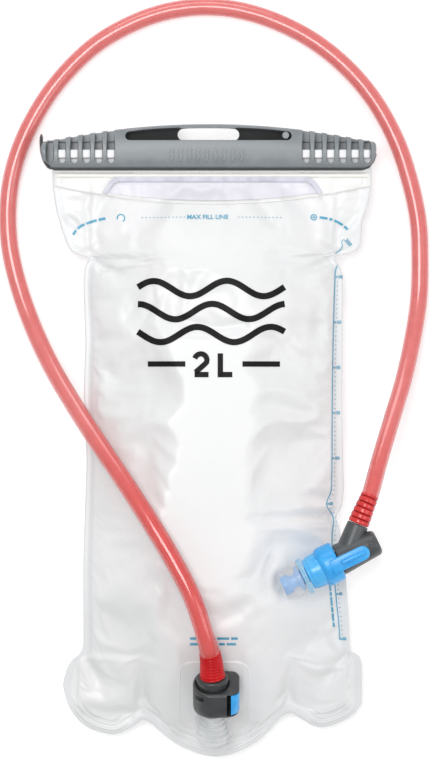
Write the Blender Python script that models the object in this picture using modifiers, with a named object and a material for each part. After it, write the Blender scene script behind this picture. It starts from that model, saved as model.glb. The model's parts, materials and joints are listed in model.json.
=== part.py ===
"""Two-litre hydration bladder with a slide clip, a quick-release drinking tube and a bite valve.

It lies on its back: +Y points to the clip, +X across the bag, +Z up off the surface.
The origin is under the middle of the clip and bag. Metres throughout.
"""
import math

import bmesh
import bpy
from mathutils import Matrix, Vector
from mathutils.bvhtree import BVHTree

# ---------------------------------------------------------------- driving dimensions
GAP = 0.0003                    # clearance between pieces that touch

# bag
BAG_X = 0.0022                  # the bag hangs slightly right of the clip's middle
FILM = 0.0006
SEAM_Z = 0.0225                 # height of the weld seam while the bag is full
SEAM_END_Z = 0.012              # and at the bottom lobes
BULGE = 0.026                   # rise of each film above the seam
INFLATED_HALF = 0.068           # half width of the blown-up part
MOUTH_RISE = 0.080              # distance over which the film rises from the mouth
BOTTOM_RISE = 0.090             # and from the bottom weld
WELD = 0.006
FILM_TOP = 0.1603
BULGE_TOP = 0.148
# half width of the film at each height
SIDE_STATIONS = [
    (0.162, 0.0880), (0.135, 0.0878), (0.118, 0.0830), (0.106, 0.0800), (0.100, 0.0705),
    (0.080, 0.0712), (0.020, 0.0700), (-0.060, 0.0715), (-0.113, 0.0740), (-0.121, 0.0812),
    (-0.140, 0.0826), (-0.180, 0.0826),
]
LOBE_X = BAG_X + 0.0025         # middle of the three bottom lobes
LOBE_VALLEY = -0.1522
CENTRE_LOBE_HALF = 0.040
CENTRE_LOBE_DEPTH = 0.0222
SIDE_LOBE_DEPTH = 0.0085

# slide clip
CLIP_HALF = 0.0921
CLIP_BOTTOM = 0.150
CLIP_TOP = 0.1743
CLIP_ARCH = 0.0096              # how far the top edge falls at 90 mm from the middle
CLIP_DEPTH = 0.012
CLIP_CORNER = 0.0078            # radius of both lower corners
CLIP_STOP = 0.0022              # thickness of the closed left end
CHANNEL_Y = (0.1546, 0.1613)
CHANNEL_HALF = 0.0043
SLIT_HALF = 0.0016
REAR_WALL = 0.0022
RECESS_HALF = 0.0456
RECESS_BOTTOM = 0.1655
RIM = 0.0016
HANG_HOLE_HALF = 0.0170
SLOTS = 6
SLOT_FIRST = 0.0536
SLOT_PITCH = 0.0067
SLOT_WIDTH = 0.00385
SLOT_BOTTOM = 0.1528
PEG_X = 0.0424
PEG_RADIUS = 0.0020

# rails in the mouth
RAIL_Y = (0.1556, 0.1603)
RAIL_DEPTH = 0.00285

# port and connector: stations are distances along the port axis from PORT_FOOT
PORT_TILT = math.radians(25)
PORT_FOOT = Vector((BAG_X, -0.1617, 0.0308))
PORT_HEIGHT = 0.0124            # from the bag's surface to the port axis
FOOT_STATION = 0.0060
NECK_RIBS = 5
NECK_WIDE = 0.0082
NECK_SLIM = 0.0057
NECK_LENGTH = 0.0130
SPIGOT_RADIUS = 0.0040
SPIGOT_END = 0.0240
BODY_START = 0.0137
BODY_END = 0.0342
BODY_RADIUS = 0.0106
SOCKET_RADIUS = 0.0047
SOCKET_END = 0.0254
FLOW_RADIUS = 0.0026
COLLAR_RADIUS = 0.0088
COLLAR_END = 0.0380

# bite valve: stations are distances from the twist collar's rear edge towards the elbow
VALVE_CENTRE = Vector((0.0704, -0.0640, 0.0487))
VALVE_YAW = math.radians(25.6)
BRANCH_YAW = math.radians(68.0)
BRANCH_STATION = 0.0040
BRANCH_LENGTH = 0.0192
BRANCH_RADIUS = 0.0059
ELBOW_END = 0.0240
STUB_END = -0.0125
STUB_RADIUS = 0.0045
TWIST_BORE = 0.0053
COLLAR_FRONT = -0.0102
BARREL_FRONT = -0.0183
FLANGE_FRONT = -0.0213
MOUTH = -0.0338
ARM_INNER = 0.0093

# drinking tube
TUBE_RADIUS = 0.00475
TUBE_POINTS = 58
TUBE_REST = TUBE_RADIUS + GAP
# from the connector over the bag, round the table and back up to the valve
TUBE_ROUTE = [
    (-0.0016, -0.1050, 0.0585), (-0.0084, -0.0840, 0.0610), (-0.0192, -0.0630, 0.0590),
    (-0.0320, -0.0420, 0.0545), (-0.0458, -0.0210, 0.0470), (-0.0604, 0.0000, 0.0372),
    (-0.0743, 0.0210, 0.0265), (-0.0869, 0.0420, 0.0165), (-0.0970, 0.0630, 0.0092),
    (-0.1047, 0.0840, 0.0058), (-0.1100, 0.1060, TUBE_REST), (-0.1113, 0.1280, TUBE_REST),
    (-0.1084, 0.1500, TUBE_REST), (-0.1005, 0.1720, TUBE_REST), (-0.0875, 0.1940, TUBE_REST),
    (-0.0713, 0.2124, TUBE_REST), (-0.0547, 0.2251, TUBE_REST), (-0.0325, 0.2355, TUBE_REST),
    (-0.0103, 0.2403, TUBE_REST), (0.0119, 0.2398, TUBE_REST), (0.0341, 0.2340, TUBE_REST),
    (0.0562, 0.2232, TUBE_REST), (0.0757, 0.2080, TUBE_REST), (0.0918, 0.1891, TUBE_REST),
    (0.1040, 0.1669, TUBE_REST), (0.1115, 0.1447, TUBE_REST), (0.1162, 0.1226, TUBE_REST),
    (0.1173, 0.1004, TUBE_REST), (0.1165, 0.0782, 0.0062), (0.1128, 0.0559, 0.0110),
    (0.1074, 0.0338, 0.0195), (0.1003, 0.0119, 0.0308), (0.0933, -0.0098, 0.0412),
    (0.0884, -0.0266, 0.0472),
]

ROUND = 20                      # sides of a turned piece


# ---------------------------------------------------------------- scene and materials
def clear_scene():
    for thing in list(bpy.data.objects):
        bpy.data.objects.remove(thing, do_unlink=True)


def new_collection(name):
    made = bpy.data.collections.new(name)
    bpy.context.scene.collection.children.link(made)
    return made


def material(name, colour, roughness, metallic=0.0, alpha=1.0):
    made = bpy.data.materials.new(name)
    made.use_nodes = True
    shader = made.node_tree.nodes["Principled BSDF"]
    shader.inputs["Base Color"].default_value = (*colour, 1.0)
    shader.inputs["Roughness"].default_value = roughness
    shader.inputs["Metallic"].default_value = metallic
    shader.inputs["Alpha"].default_value = alpha
    return made


clear_scene()
PARTS = new_collection("hydration_bladder")
CUTTERS = new_collection("cutters")

FILM_CLEAR = material("frosted_film", (0.86, 0.87, 0.85), 0.35)
BAND_FILM = material("mouth_band_film", (0.78, 0.79, 0.76), 0.4)
GRIP_TINT = material("grip_panel_film", (0.72, 0.72, 0.80), 0.4)
RAIL_WHITE = material("rail_white", (0.85, 0.85, 0.84), 0.45)
CLIP_GREY = material("clip_grey", (0.21, 0.22, 0.24), 0.4)
DARK_GREY = material("connector_grey", (0.045, 0.045, 0.05), 0.4)
VALVE_GREY = material("valve_grey", (0.07, 0.08, 0.085), 0.45)
BLUE = material("signal_blue", (0.05, 0.30, 0.78), 0.3)
LIGHT_BLUE = material("light_blue", (0.22, 0.55, 0.86), 0.3)
CLEAR_PORT = material("clear_port", (0.80, 0.84, 0.85), 0.2)
SILICONE = material("clear_silicone", (0.80, 0.86, 0.90), 0.3)
TUBE_RED = material("tube_red", (0.75, 0.09, 0.08), 0.25)
SEAL_BLACK = material("seal_black", (0.02, 0.02, 0.02), 0.6)
STEEL = material("spring_steel", (0.55, 0.56, 0.58), 0.3, 1.0)


# ---------------------------------------------------------------- small builders
def place(thing, name, look=None, parent=None, collection=PARTS):
    """Name an object, give it its material, and put it in its collection and under its parent."""
    thing.name = name
    if thing.data is not None:
        thing.data.name = name
    for owner in list(thing.users_collection):
        owner.objects.unlink(thing)
    collection.objects.link(thing)
    thing.parent = parent
    if look is not None:
        thing.data.materials.clear()
        thing.data.materials.append(look)
    if collection is CUTTERS:
        thing.hide_render = True
        thing.display_type = "WIRE"
    return thing


def smooth(thing, degrees=35):
    thing.data.shade_smooth()
    thing.data.set_sharp_from_angle(angle=math.radians(degrees))


def bevel(thing, width, segments=2):
    edge = thing.modifiers.new("rounded", "BEVEL")
    edge.width = width
    edge.segments = segments
    edge.limit_method = "ANGLE"
    edge.angle_limit = math.radians(40)


def box(name, low, high, look=None, parent=None, collection=PARTS, rounding=0.0):
    """A box between two corners, in its parent's frame."""
    bpy.ops.mesh.primitive_cube_add(size=1)
    made = place(bpy.context.object, name, look, parent, collection)
    low, high = Vector(low), Vector(high)
    centre = (low + high) / 2
    for vertex in made.data.vertices:
        vertex.co = Vector(a * b for a, b in zip(vertex.co, high - low))
    made.location = centre
    if rounding:
        bevel(made, rounding)
    return made


def rod(name, radius, start, end, look=None, parent=None, collection=PARTS, sides=ROUND):
    """A cylinder along its parent's Z axis."""
    bpy.ops.mesh.primitive_cylinder_add(vertices=sides, radius=radius, depth=end - start)
    made = place(bpy.context.object, name, look, parent, collection)
    made.location = (0, 0, (start + end) / 2)
    smooth(made)
    return made


def turned(name, profile, look=None, parent=None, collection=PARTS, closed=False, sides=ROUND):
    """A solid of revolution about Z: the profile is (radius, height), down its outer side."""
    mesh = bpy.data.meshes.new(name)
    corners = [(radius, 0, height) for radius, height in profile]
    edges = [(i, i + 1) for i in range(len(corners) - 1)]
    if closed:
        edges.append((len(corners) - 1, 0))
    mesh.from_pydata(corners, edges, [])
    made = place(bpy.data.objects.new(name, mesh), name, look, parent, collection)
    screw = made.modifiers.new("turned", "SCREW")
    screw.axis = "Z"
    screw.steps = sides
    screw.render_steps = sides
    screw.use_merge_vertices = True
    screw.merge_threshold = 0.00001
    screw.use_smooth_shade = True
    return made


def combine(target, tool, operation):
    step = target.modifiers.new(operation.lower(), "BOOLEAN")
    step.operation = operation
    step.solver = "EXACT"
    step.object = tool


def torus(name, ring_radius, wire_radius, station, look, parent):
    bpy.ops.mesh.primitive_torus_add(
        major_radius=ring_radius, minor_radius=wire_radius, major_segments=20, minor_segments=6)
    made = place(bpy.context.object, name, look, parent)
    made.location = (0, 0, station)
    smooth(made)
    return made


def wire_curve(name, points, radius, look, parent=None, resolution=2):
    """A round wire or tube along a list of points."""
    curve = bpy.data.curves.new(name, "CURVE")
    curve.dimensions = "3D"
    curve.bevel_depth = radius
    curve.bevel_resolution = resolution
    curve.use_fill_caps = True
    spline = curve.splines.new("POLY")
    spline.points.add(len(points) - 1)
    for point, co in zip(spline.points, points):
        point.co = (*co, 1.0)
    return place(bpy.data.objects.new(name, curve), name, look, parent)


def coil_spring(name, radius, wire, start, end, turns, look, parent):
    steps = int(turns * 9)
    points = []
    for i in range(steps + 1):
        angle = 2 * math.pi * turns * i / steps
        height = start + (end - start) * i / steps
        points.append((radius * math.cos(angle), radius * math.sin(angle), height))
    return wire_curve(name, points, wire, look, parent)


def extruded_outline(name, outline, depth, height, look=None, collection=PARTS, rim=0.0):
    """A flat outline in XY, extruded in Z about a height, with rounded rims, as a mesh."""
    curve = bpy.data.curves.new(name, "CURVE")
    curve.dimensions = "2D"
    curve.fill_mode = "BOTH"
    curve.extrude = depth / 2 - rim
    curve.bevel_depth = rim
    curve.bevel_resolution = 1
    curve.offset = -rim
    spline = curve.splines.new("POLY")
    spline.points.add(len(outline) - 1)
    for point, (x, y) in zip(spline.points, outline):
        point.co = (x, y, 0, 1)
    spline.use_cyclic_u = True
    guide = bpy.data.objects.new(name + "_outline", curve)
    bpy.context.scene.collection.objects.link(guide)
    bpy.context.view_layer.update()
    evaluated = guide.evaluated_get(bpy.context.evaluated_depsgraph_get())
    mesh = bpy.data.meshes.new_from_object(evaluated)
    bpy.data.objects.remove(guide)
    shape = bmesh.new()
    shape.from_mesh(mesh)
    bmesh.ops.remove_doubles(shape, verts=shape.verts, dist=0.00001)
    shape.to_mesh(mesh)
    shape.free()
    made = place(bpy.data.objects.new(name, mesh), name, look, None, collection)
    made.location = (0, 0, height)
    return made


def frame_empty(name, location, x_axis, y_axis, z_axis):
    """An empty whose axes are given, for pieces built along a slanted axis."""
    turn = Matrix((x_axis, y_axis, z_axis)).transposed().to_4x4()
    empty = bpy.data.objects.new(name, None)
    PARTS.objects.link(empty)
    empty.location = location
    empty.rotation_euler = turn.to_euler()
    return empty


# ---------------------------------------------------------------- the bag's shape
def between(low, high, share):
    return low + (high - low) * share


def eased(share):
    share = min(1.0, max(0.0, share))
    return share * share * (3 - 2 * share)


def half_width(y):
    """The film's half width at a height, straight between the stations."""
    for (y_up, w_up), (y_down, w_down) in zip(SIDE_STATIONS, SIDE_STATIONS[1:]):
        if y >= y_down:
            return between(w_up, w_down, (y_up - y) / (y_up - y_down))
    return SIDE_STATIONS[-1][1]


def bottom_edge(x):
    """Three lobes: a deep one in the middle and a shallow one at each side."""
    reach = abs(x - LOBE_X)
    if reach < CENTRE_LOBE_HALF:
        return LOBE_VALLEY - CENTRE_LOBE_DEPTH * math.cos(math.pi * reach / (2 * CENTRE_LOBE_HALF))
    share = (reach - CENTRE_LOBE_HALF) / (SIDE_STATIONS[-1][1] - CENTRE_LOBE_HALF)
    return LOBE_VALLEY - SIDE_LOBE_DEPTH * math.sin(math.pi * share) + 0.006 * share ** 4


def seam_height(y):
    return between(SEAM_END_Z, SEAM_Z, eased((y + 0.174) / 0.114))


def bulge(x, y):
    """How far each film stands off the seam."""
    inflated = min(half_width(y) - 0.003, INFLATED_HALF)
    across = max(0.0, 1 - ((x - BAG_X) / inflated) ** 2) ** 0.8
    from_mouth = eased((BULGE_TOP - y) / MOUTH_RISE)
    inside = min(1.0, max(0.0, (y - bottom_edge(x) - WELD) / BOTTOM_RISE))
    return BULGE * across * from_mouth * math.sin(math.pi / 2 * inside)


def front_height(x, y):
    return seam_height(y) + GAP / 2 + FILM + bulge(x, y)


def back_height(x, y):
    return max(0.0, seam_height(y) - GAP / 2 - FILM - bulge(x, y))


def grid_sheet(name, columns, rows, to_point, look, upward=True, thickness=FILM):
    """A sheet of film: a grid bent to shape, thickened inwards."""
    bpy.ops.mesh.primitive_grid_add(x_subdivisions=columns, y_subdivisions=rows, size=2)
    made = place(bpy.context.object, name, look)
    for vertex in made.data.vertices:
        vertex.co = to_point(vertex.co.x, vertex.co.y)
    if not upward:
        made.data.flip_normals()
    skin = made.modifiers.new("thickness", "SOLIDIFY")
    skin.thickness = thickness
    skin.offset = -1
    smooth(made, 60)
    return made


def bag_point(across, along, height):
    """Map a grid's corner (-1 to 1 each way) to the film, closer together near the edges."""
    spread = across * (1 + 0.25 * (1 - across * across))
    share = (1 - along) / 2
    share -= 0.10 * math.sin(2 * math.pi * share)
    edge_x = BAG_X + spread * SIDE_STATIONS[-1][1]
    y = between(FILM_TOP, bottom_edge(edge_x), share)
    x = BAG_X + spread * half_width(y)
    return x, y, height(x, y)


def bag_panels():
    front = grid_sheet("bag_front_panel", 18, 28, lambda u, v: bag_point(u, v, front_height), FILM_CLEAR)
    grid_sheet("bag_back_panel", 18, 28, lambda u, v: bag_point(u, v, back_height), FILM_CLEAR, False)
    return front


def surface_of(thing):
    bpy.context.view_layer.update()
    return BVHTree.FromObject(thing, bpy.context.evaluated_depsgraph_get())


def height_on(surface, x, y):
    hit = surface.ray_cast(Vector((x, y, 0.2)), Vector((0, 0, -1)))
    return hit[0].z


def patch_sheet(name, surface, columns, rows, outline, look, thickness, lift=0.0005):
    """A sheet that lies on another surface; outline gives (x, y) for each grid corner."""
    def to_point(u, v):
        x, y = outline(u, v)
        return x, y, height_on(surface, x, y) + lift + thickness * 1.15
    return grid_sheet(name, columns, rows, to_point, look, True, thickness)


# ---------------------------------------------------------------- mouth and clip
def band_low(x):
    """The curved lower edge of the mouth band."""
    return 0.1302 + 0.0100 * ((x - BAG_X) / 0.0870) ** 2


def band_outline(u, v):
    x = BAG_X + u * 0.0870
    return x, between(band_low(x), 0.1492, (v + 1) / 2)


def grip_outline(u, v):
    x = BAG_X + u * between(0.0600, 0.0530, eased((v + 1) / 2))
    return x, between(band_low(x) + 0.0022, 0.1460 - 0.003 * u ** 8, (v + 1) / 2)


def mouth(front):
    band = patch_sheet("mouth_band", surface_of(front), 22, 4, band_outline, BAND_FILM, 0.0007)
    patch_sheet("mouth_grip_panel", surface_of(band), 16, 3, grip_outline, GRIP_TINT, 0.0009)
    low, high = RAIL_Y
    near = GAP / 2 + FILM + GAP
    for name, side in (("mouth_rail_front", 1), ("mouth_rail_back", -1)):
        heights = sorted((SEAM_Z + side * near, SEAM_Z + side * (near + RAIL_DEPTH)))
        box(name, (BAG_X - 0.0865, low, heights[0]), (BAG_X + 0.0865, high, heights[1]),
            RAIL_WHITE, rounding=0.0008)


def arch(x):
    return CLIP_TOP - CLIP_ARCH * (x / 0.090) ** 2


def corner(x, y, radius, first, steps=3):
    """Points of a rounded corner about a centre, a quarter turn from the first angle."""
    angles = [math.radians(first + 90 * i / steps) for i in range(steps + 1)]
    return [(x + radius * math.cos(a), y + radius * math.sin(a)) for a in angles]


def clip_outline():
    top = [CLIP_HALF * (1 - i / 9) for i in range(1, 18)]
    radius, tip = CLIP_CORNER, 0.0015
    points = corner(-CLIP_HALF + radius, CLIP_BOTTOM + radius, radius, 180, 5)
    points += corner(CLIP_HALF - radius, CLIP_BOTTOM + radius, radius, 270, 5)
    points += corner(CLIP_HALF - tip, arch(CLIP_HALF) - tip, tip, 0, 2)
    points += [(x, arch(x)) for x in top[:-1]]
    points += corner(-CLIP_HALF + tip, arch(CLIP_HALF) - tip, tip, 90, 2)
    return points


def recess_outline(half):
    """The hang slot: flat below, following the arched edge above, with half-round ends."""
    steps = 6
    radius = (arch(half) - RIM - RECESS_BOTTOM) / 2
    centre_x, centre_y = half - radius, RECESS_BOTTOM + radius
    points = []
    for side in (1, -1):
        for i in range(steps + 1):
            angle = side * math.radians(180 * i / steps - 90)
            points.append((side * (centre_x + radius * math.cos(angle)), centre_y + radius * math.sin(angle)))
        if side == 1:
            points += [(centre_x * (1 - i / 4), arch(centre_x * (1 - i / 4)) - RIM) for i in range(1, 8)]
    return points


def slide_clip():
    front, rear = SEAM_Z + CLIP_DEPTH / 2, SEAM_Z - CLIP_DEPTH / 2
    clip = extruded_outline("slide_clip", clip_outline(), CLIP_DEPTH, SEAM_Z, CLIP_GREY, rim=0.0012)
    beyond = 0.01
    channel = box("channel", (-CLIP_HALF + CLIP_STOP, CHANNEL_Y[0], SEAM_Z - CHANNEL_HALF),
                  (CLIP_HALF + beyond, CHANNEL_Y[1], SEAM_Z + CHANNEL_HALF), collection=CUTTERS)
    slit = box("slit", (-CLIP_HALF + CLIP_STOP, CLIP_BOTTOM - beyond, SEAM_Z - SLIT_HALF),
               (CLIP_HALF + beyond, CHANNEL_Y[0] + 0.001, SEAM_Z + SLIT_HALF), collection=CUTTERS)
    floor = rear + REAR_WALL
    recess = extruded_outline("recess", recess_outline(RECESS_HALF), 2 * CLIP_DEPTH,
                              floor + CLIP_DEPTH, collection=CUTTERS)
    hole = extruded_outline("hang_hole", recess_outline(HANG_HOLE_HALF), 2 * CLIP_DEPTH,
                            rear, collection=CUTTERS)
    for tool in (channel, slit, recess, hole):
        combine(clip, tool, "DIFFERENCE")
    for side in (-1, 1):
        for i in range(SLOTS):
            middle = side * (SLOT_FIRST + i * SLOT_PITCH)
            tool = box(f"slot_{i}_{side}", (middle - SLOT_WIDTH / 2, SLOT_BOTTOM, SEAM_Z - CHANNEL_HALF),
                       (middle + SLOT_WIDTH / 2, CLIP_TOP + beyond, front + beyond), collection=CUTTERS)
            combine(clip, tool, "DIFFERENCE")
    peg = rod("clip_peg", PEG_RADIUS, floor + GAP, front - 0.0008, CLIP_GREY)
    peg.location.x = PEG_X
    peg.location.y = (RECESS_BOTTOM + arch(PEG_X) - RIM) / 2
    bevel(peg, 0.0004, 1)


# ---------------------------------------------------------------- port
def port_patch_outline(u, v):
    """A rounded rectangle round the port."""
    bend = 1 - 0.10 * (u * v) ** 6
    return BAG_X + u * 0.0185 * bend, -0.1395 + v * 0.0190 * bend


def port_pieces(front, axis):
    patch = patch_sheet("port_patch", surface_of(front), 8, 8, port_patch_outline, CLEAR_PORT, 0.0006)

    # local Z points into the bag, from the middle of the neck's foot
    inward = frame_empty("port_inward", (0, 0, FOOT_STATION), (1, 0, 0), (0, 0, -1), (0, 1, 0))
    inward.parent = axis
    water_way = rod("water_way", 0.0022, 0.0, 0.030, parent=inward, collection=CUTTERS, sides=16)
    flange_top = PORT_HEIGHT - 0.0030
    flange = rod("port_flange", 0.0072, flange_top, flange_top + 0.0015, CLEAR_PORT, inward)
    bevel(flange, 0.0005, 1)

    neck = turned("port_neck", neck_profile(), CLEAR_PORT, axis, sides=24)
    foot = rod("neck_foot", 0.0046, 0.001, flange_top - GAP, parent=inward, collection=CUTTERS, sides=24)
    combine(neck, foot, "UNION")
    bore = turned("neck_bore", [(0, 0.0260), (0.0016, 0.0260), (0.0016, 0.0218), (FLOW_RADIUS, 0.0218),
                                (FLOW_RADIUS, 0.0045), (0, 0.0045)], parent=axis, collection=CUTTERS)
    combine(neck, bore, "DIFFERENCE")
    for pierced in (neck, flange, patch, front):
        combine(pierced, water_way, "DIFFERENCE")

    torus("port_o_ring", 0.00375, 0.00060, 0.0208, SEAL_BLACK, axis)
    turned("port_poppet", [(0, 0.0232), (0.0008, 0.0232), (0.0008, 0.0191), (0.0022, 0.0191),
                           (0.0022, 0.0176), (0.0006, 0.0176), (0.0006, 0.0120), (0, 0.0120)],
           BLUE, axis, sides=16)
    coil_spring("port_poppet_spring", 0.0017, 0.0003, 0.0120, 0.0169, 3.5, STEEL, axis)


def neck_profile():
    """Down the outer side: spigot with its seal groove and catch groove, then the ribs."""
    groove = 0.0034
    points = [(0, SPIGOT_END), (SPIGOT_RADIUS - 0.0005, SPIGOT_END), (SPIGOT_RADIUS, SPIGOT_END - 0.0006)]
    points += [(SPIGOT_RADIUS, 0.0216), (0.00300, 0.0216), (0.00300, 0.0200), (SPIGOT_RADIUS, 0.0200)]
    points += [(SPIGOT_RADIUS, 0.0198 - 0.0003), (groove, 0.0195), (groove, 0.0184), (SPIGOT_RADIUS, 0.0184)]
    points.append((SPIGOT_RADIUS, NECK_LENGTH))
    pitch = NECK_LENGTH / NECK_RIBS
    for i in range(NECK_RIBS):
        radius = between(NECK_SLIM, NECK_WIDE, i / (NECK_RIBS - 1))
        top = NECK_LENGTH - i * pitch
        points += [(radius - 0.0004, top), (radius, top - 0.0004), (radius, top - 0.0014)]
        points.append((radius - 0.0008, top - 0.0018))
        points.append((radius - 0.0008, top - pitch + 0.0002))
    points += [(NECK_WIDE - 0.0024, -0.0010), (0, -0.0014)]
    return points


# ---------------------------------------------------------------- connector
def connector_pieces(axis):
    r = BODY_RADIUS
    body = turned("connector_body", [
        (0, BODY_END), (r - 0.0009, BODY_END), (r, BODY_END - 0.0011),
        (r, BODY_START + 0.0050), (r - 0.0012, BODY_START + 0.0022), (r - 0.0032, BODY_START), (0, BODY_START),
    ], DARK_GREY, axis)
    housing = box("housing", (0, -0.0098, 0.0165), (0.0130, 0.0088, BODY_END - 0.0003), parent=axis,
                  collection=CUTTERS, rounding=0.0016)
    combine(body, housing, "UNION")
    socket = turned("socket", [(0, SOCKET_END), (SOCKET_RADIUS, SOCKET_END), (SOCKET_RADIUS, 0.005), (0, 0.005)],
                    parent=axis, collection=CUTTERS)
    flow = rod("flow_way", FLOW_RADIUS, 0.020, 0.050, parent=axis, collection=CUTTERS, sides=16)
    button_pocket = box("button_pocket", (0.0066, -0.0088, 0.0180), (0.020, 0.0047, 0.0295), parent=axis,
                        collection=CUTTERS)
    button_window = box("button_window", (0.0110, -0.0130, 0.0183), (0.021, -0.0080, 0.0292), parent=axis,
                        collection=CUTTERS)
    plate_slot = box("plate_slot", (-0.0081, -0.0053, 0.0163), (0.0087, 0.0053, 0.0182), parent=axis,
                     collection=CUTTERS)
    spring_pocket = box("spring_pocket", (0.0043, -0.0020, 0.0262), (0.0100, 0.0020, 0.0293), parent=axis,
                        collection=CUTTERS)
    side_slot = box("side_slot", (-0.0130, -0.0085, 0.0235), (-0.0062, -0.0035, 0.0285), parent=axis,
                    collection=CUTTERS)
    for tool in (side_slot, button_pocket, button_window, plate_slot, spring_pocket, socket, flow):
        combine(body, tool, "DIFFERENCE")

    turned("connector_collar", [
        (COLLAR_RADIUS - 0.0008, COLLAR_END), (COLLAR_RADIUS, COLLAR_END - 0.0008),
        (COLLAR_RADIUS, BODY_END + 0.0009), (COLLAR_RADIUS - 0.0006, BODY_END + GAP),
        (FLOW_RADIUS, BODY_END + GAP), (FLOW_RADIUS, COLLAR_END),
    ], DARK_GREY, axis, closed=True)
    turned("connector_face_seal", [(0.0043, 0.0251), (0.0043, 0.0243), (0.0029, 0.0243), (0.0029, 0.0251)],
           SEAL_BLACK, axis, closed=True)

    box("connector_button", (0.0090, -0.0084, 0.0187), (0.0145, 0.0043, 0.0288), BLUE, axis, rounding=0.0010)
    plate = box("connector_latch_plate", (-0.0056, -0.0050, 0.0166), (0.0083, 0.0050, 0.0178), STEEL, axis)
    eye = box("plate_eye", (-0.0044, -0.0043, 0.015), (0.0067, 0.0043, 0.020), parent=axis, collection=CUTTERS)
    combine(plate, eye, "DIFFERENCE")
    across = frame_empty("button_axis", (0, 0, 0), (0, 0, 1), (0, 1, 0), (-1, 0, 0))
    across.parent = axis
    spring = coil_spring("connector_button_spring", 0.0012, 0.00025, -0.0084, -0.0047, 3, STEEL, across)
    spring.location.x = 0.0278


# ---------------------------------------------------------------- bite valve
def valve_elbow(axis):
    housing = turned("valve_elbow", [
        (0, ELBOW_END), (0.0046, ELBOW_END), (0.0064, ELBOW_END - 0.0016), (0.0070, ELBOW_END - 0.0040),
        (0.0087, 0.0020), (0.0087, GAP), (STUB_RADIUS, GAP), (STUB_RADIUS, -0.0066), (0.0039, -0.0066),
        (0.0039, -0.0080), (STUB_RADIUS, -0.0080), (STUB_RADIUS, STUB_END), (0, STUB_END),
    ], VALVE_GREY, axis)
    lean = BRANCH_YAW - VALVE_YAW
    to_tube = Vector((0, -math.sin(lean), math.cos(lean)))
    sideways = Vector((0, math.cos(lean), math.sin(lean)))
    branch_axis = frame_empty("branch_axis", (0, 0, BRANCH_STATION), (1, 0, 0), sideways, to_tube)
    branch_axis.parent = axis
    branch = turned("branch", [
        (0, BRANCH_LENGTH), (BRANCH_RADIUS - 0.0006, BRANCH_LENGTH), (BRANCH_RADIUS, BRANCH_LENGTH - 0.0006),
        (BRANCH_RADIUS, 0.0016), (0, 0.0016),
    ], parent=branch_axis, collection=CUTTERS)
    combine(housing, branch, "UNION")
    branch_bore = rod("branch_bore", 0.0030, 0.0018, 0.030, parent=branch_axis, collection=CUTTERS, sides=16)
    stub_bore = rod("stub_bore", 0.0028, -0.020, 0.0055, parent=axis, collection=CUTTERS, sides=16)
    combine(housing, branch_bore, "DIFFERENCE")
    combine(housing, stub_bore, "DIFFERENCE")

    boss_axis = frame_empty("boss_axis", (0, 0, 0.0188), (0, 0, -1), (0, 1, 0), (1, 0, 0))
    boss_axis.parent = axis
    boss = rod("elbow_boss", 0.0017, 0.0075, 0.0086, VALVE_GREY, boss_axis, sides=16)
    bevel(boss, 0.0003, 1)


def twist_collar(axis):
    collar = turned("valve_twist_collar", [
        (0.0100, COLLAR_FRONT), (TWIST_BORE, COLLAR_FRONT), (TWIST_BORE, 0), (0.0106, 0),
        (0.0111, -0.0012), (0.0111, COLLAR_FRONT + 0.0020),
    ], BLUE, axis, closed=True)
    arm = box("arm", (ARM_INNER, -0.0025, -0.0060), (0.0116, 0.0055, 0.0198), parent=axis, collection=CUTTERS)
    bevel(arm, 0.0010, 2)
    ridge = box("arm_ridge", (0.0108, 0.0017, 0.0010), (0.0126, 0.0037, 0.0165), parent=axis,
                collection=CUTTERS, rounding=0.0006)
    combine(collar, arm, "UNION")
    combine(collar, ridge, "UNION")


def bite_pieces(axis):
    turned("valve_barrel", [
        (0.0084, BARREL_FRONT), (TWIST_BORE, BARREL_FRONT), (TWIST_BORE, COLLAR_FRONT - GAP),
        (0.0090, COLLAR_FRONT - GAP), (0.0090, BARREL_FRONT + 0.0010),
    ], LIGHT_BLUE, axis, closed=True)
    torus("valve_o_ring", 0.0044, 0.0004, -0.0073, SEAL_BLACK, axis)
    turned("valve_flange_ring", [
        (0.0098, FLANGE_FRONT), (0.0042, FLANGE_FRONT), (0.0042, BARREL_FRONT - GAP),
        (0.0100, BARREL_FRONT - GAP), (0.0105, BARREL_FRONT - 0.0010), (0.0105, FLANGE_FRONT + 0.0008),
    ], SILICONE, axis, closed=True)
    wall = 0.0013
    outer = [(0.0088, FLANGE_FRONT - GAP), (0.0084, -0.0240), (0.0070, -0.0280), (0.0058, -0.0315),
             (0.0056, MOUTH + 0.0006), (0.0052, MOUTH)]
    inner = [(0.0042, MOUTH), (0.0046, -0.0315)]
    inner += [(radius - wall, height) for radius, height in ((0.0070, -0.0280), (0.0084, -0.0240))]
    inner.append((0.0088 - wall, FLANGE_FRONT - GAP))
    turned("bite_sheath", outer + inner, SILICONE, axis, closed=True)
    turned("bite_core", [
        (0, -0.0170), (0.0038, -0.0170), (0.0038, -0.0205), (0.0018, -0.0212), (0.0018, -0.0265),
        (0.0042, -0.0278), (0.0040, -0.0292), (0.0022, -0.0304), (0, -0.0308),
    ], BLUE, axis, sides=20)


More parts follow.
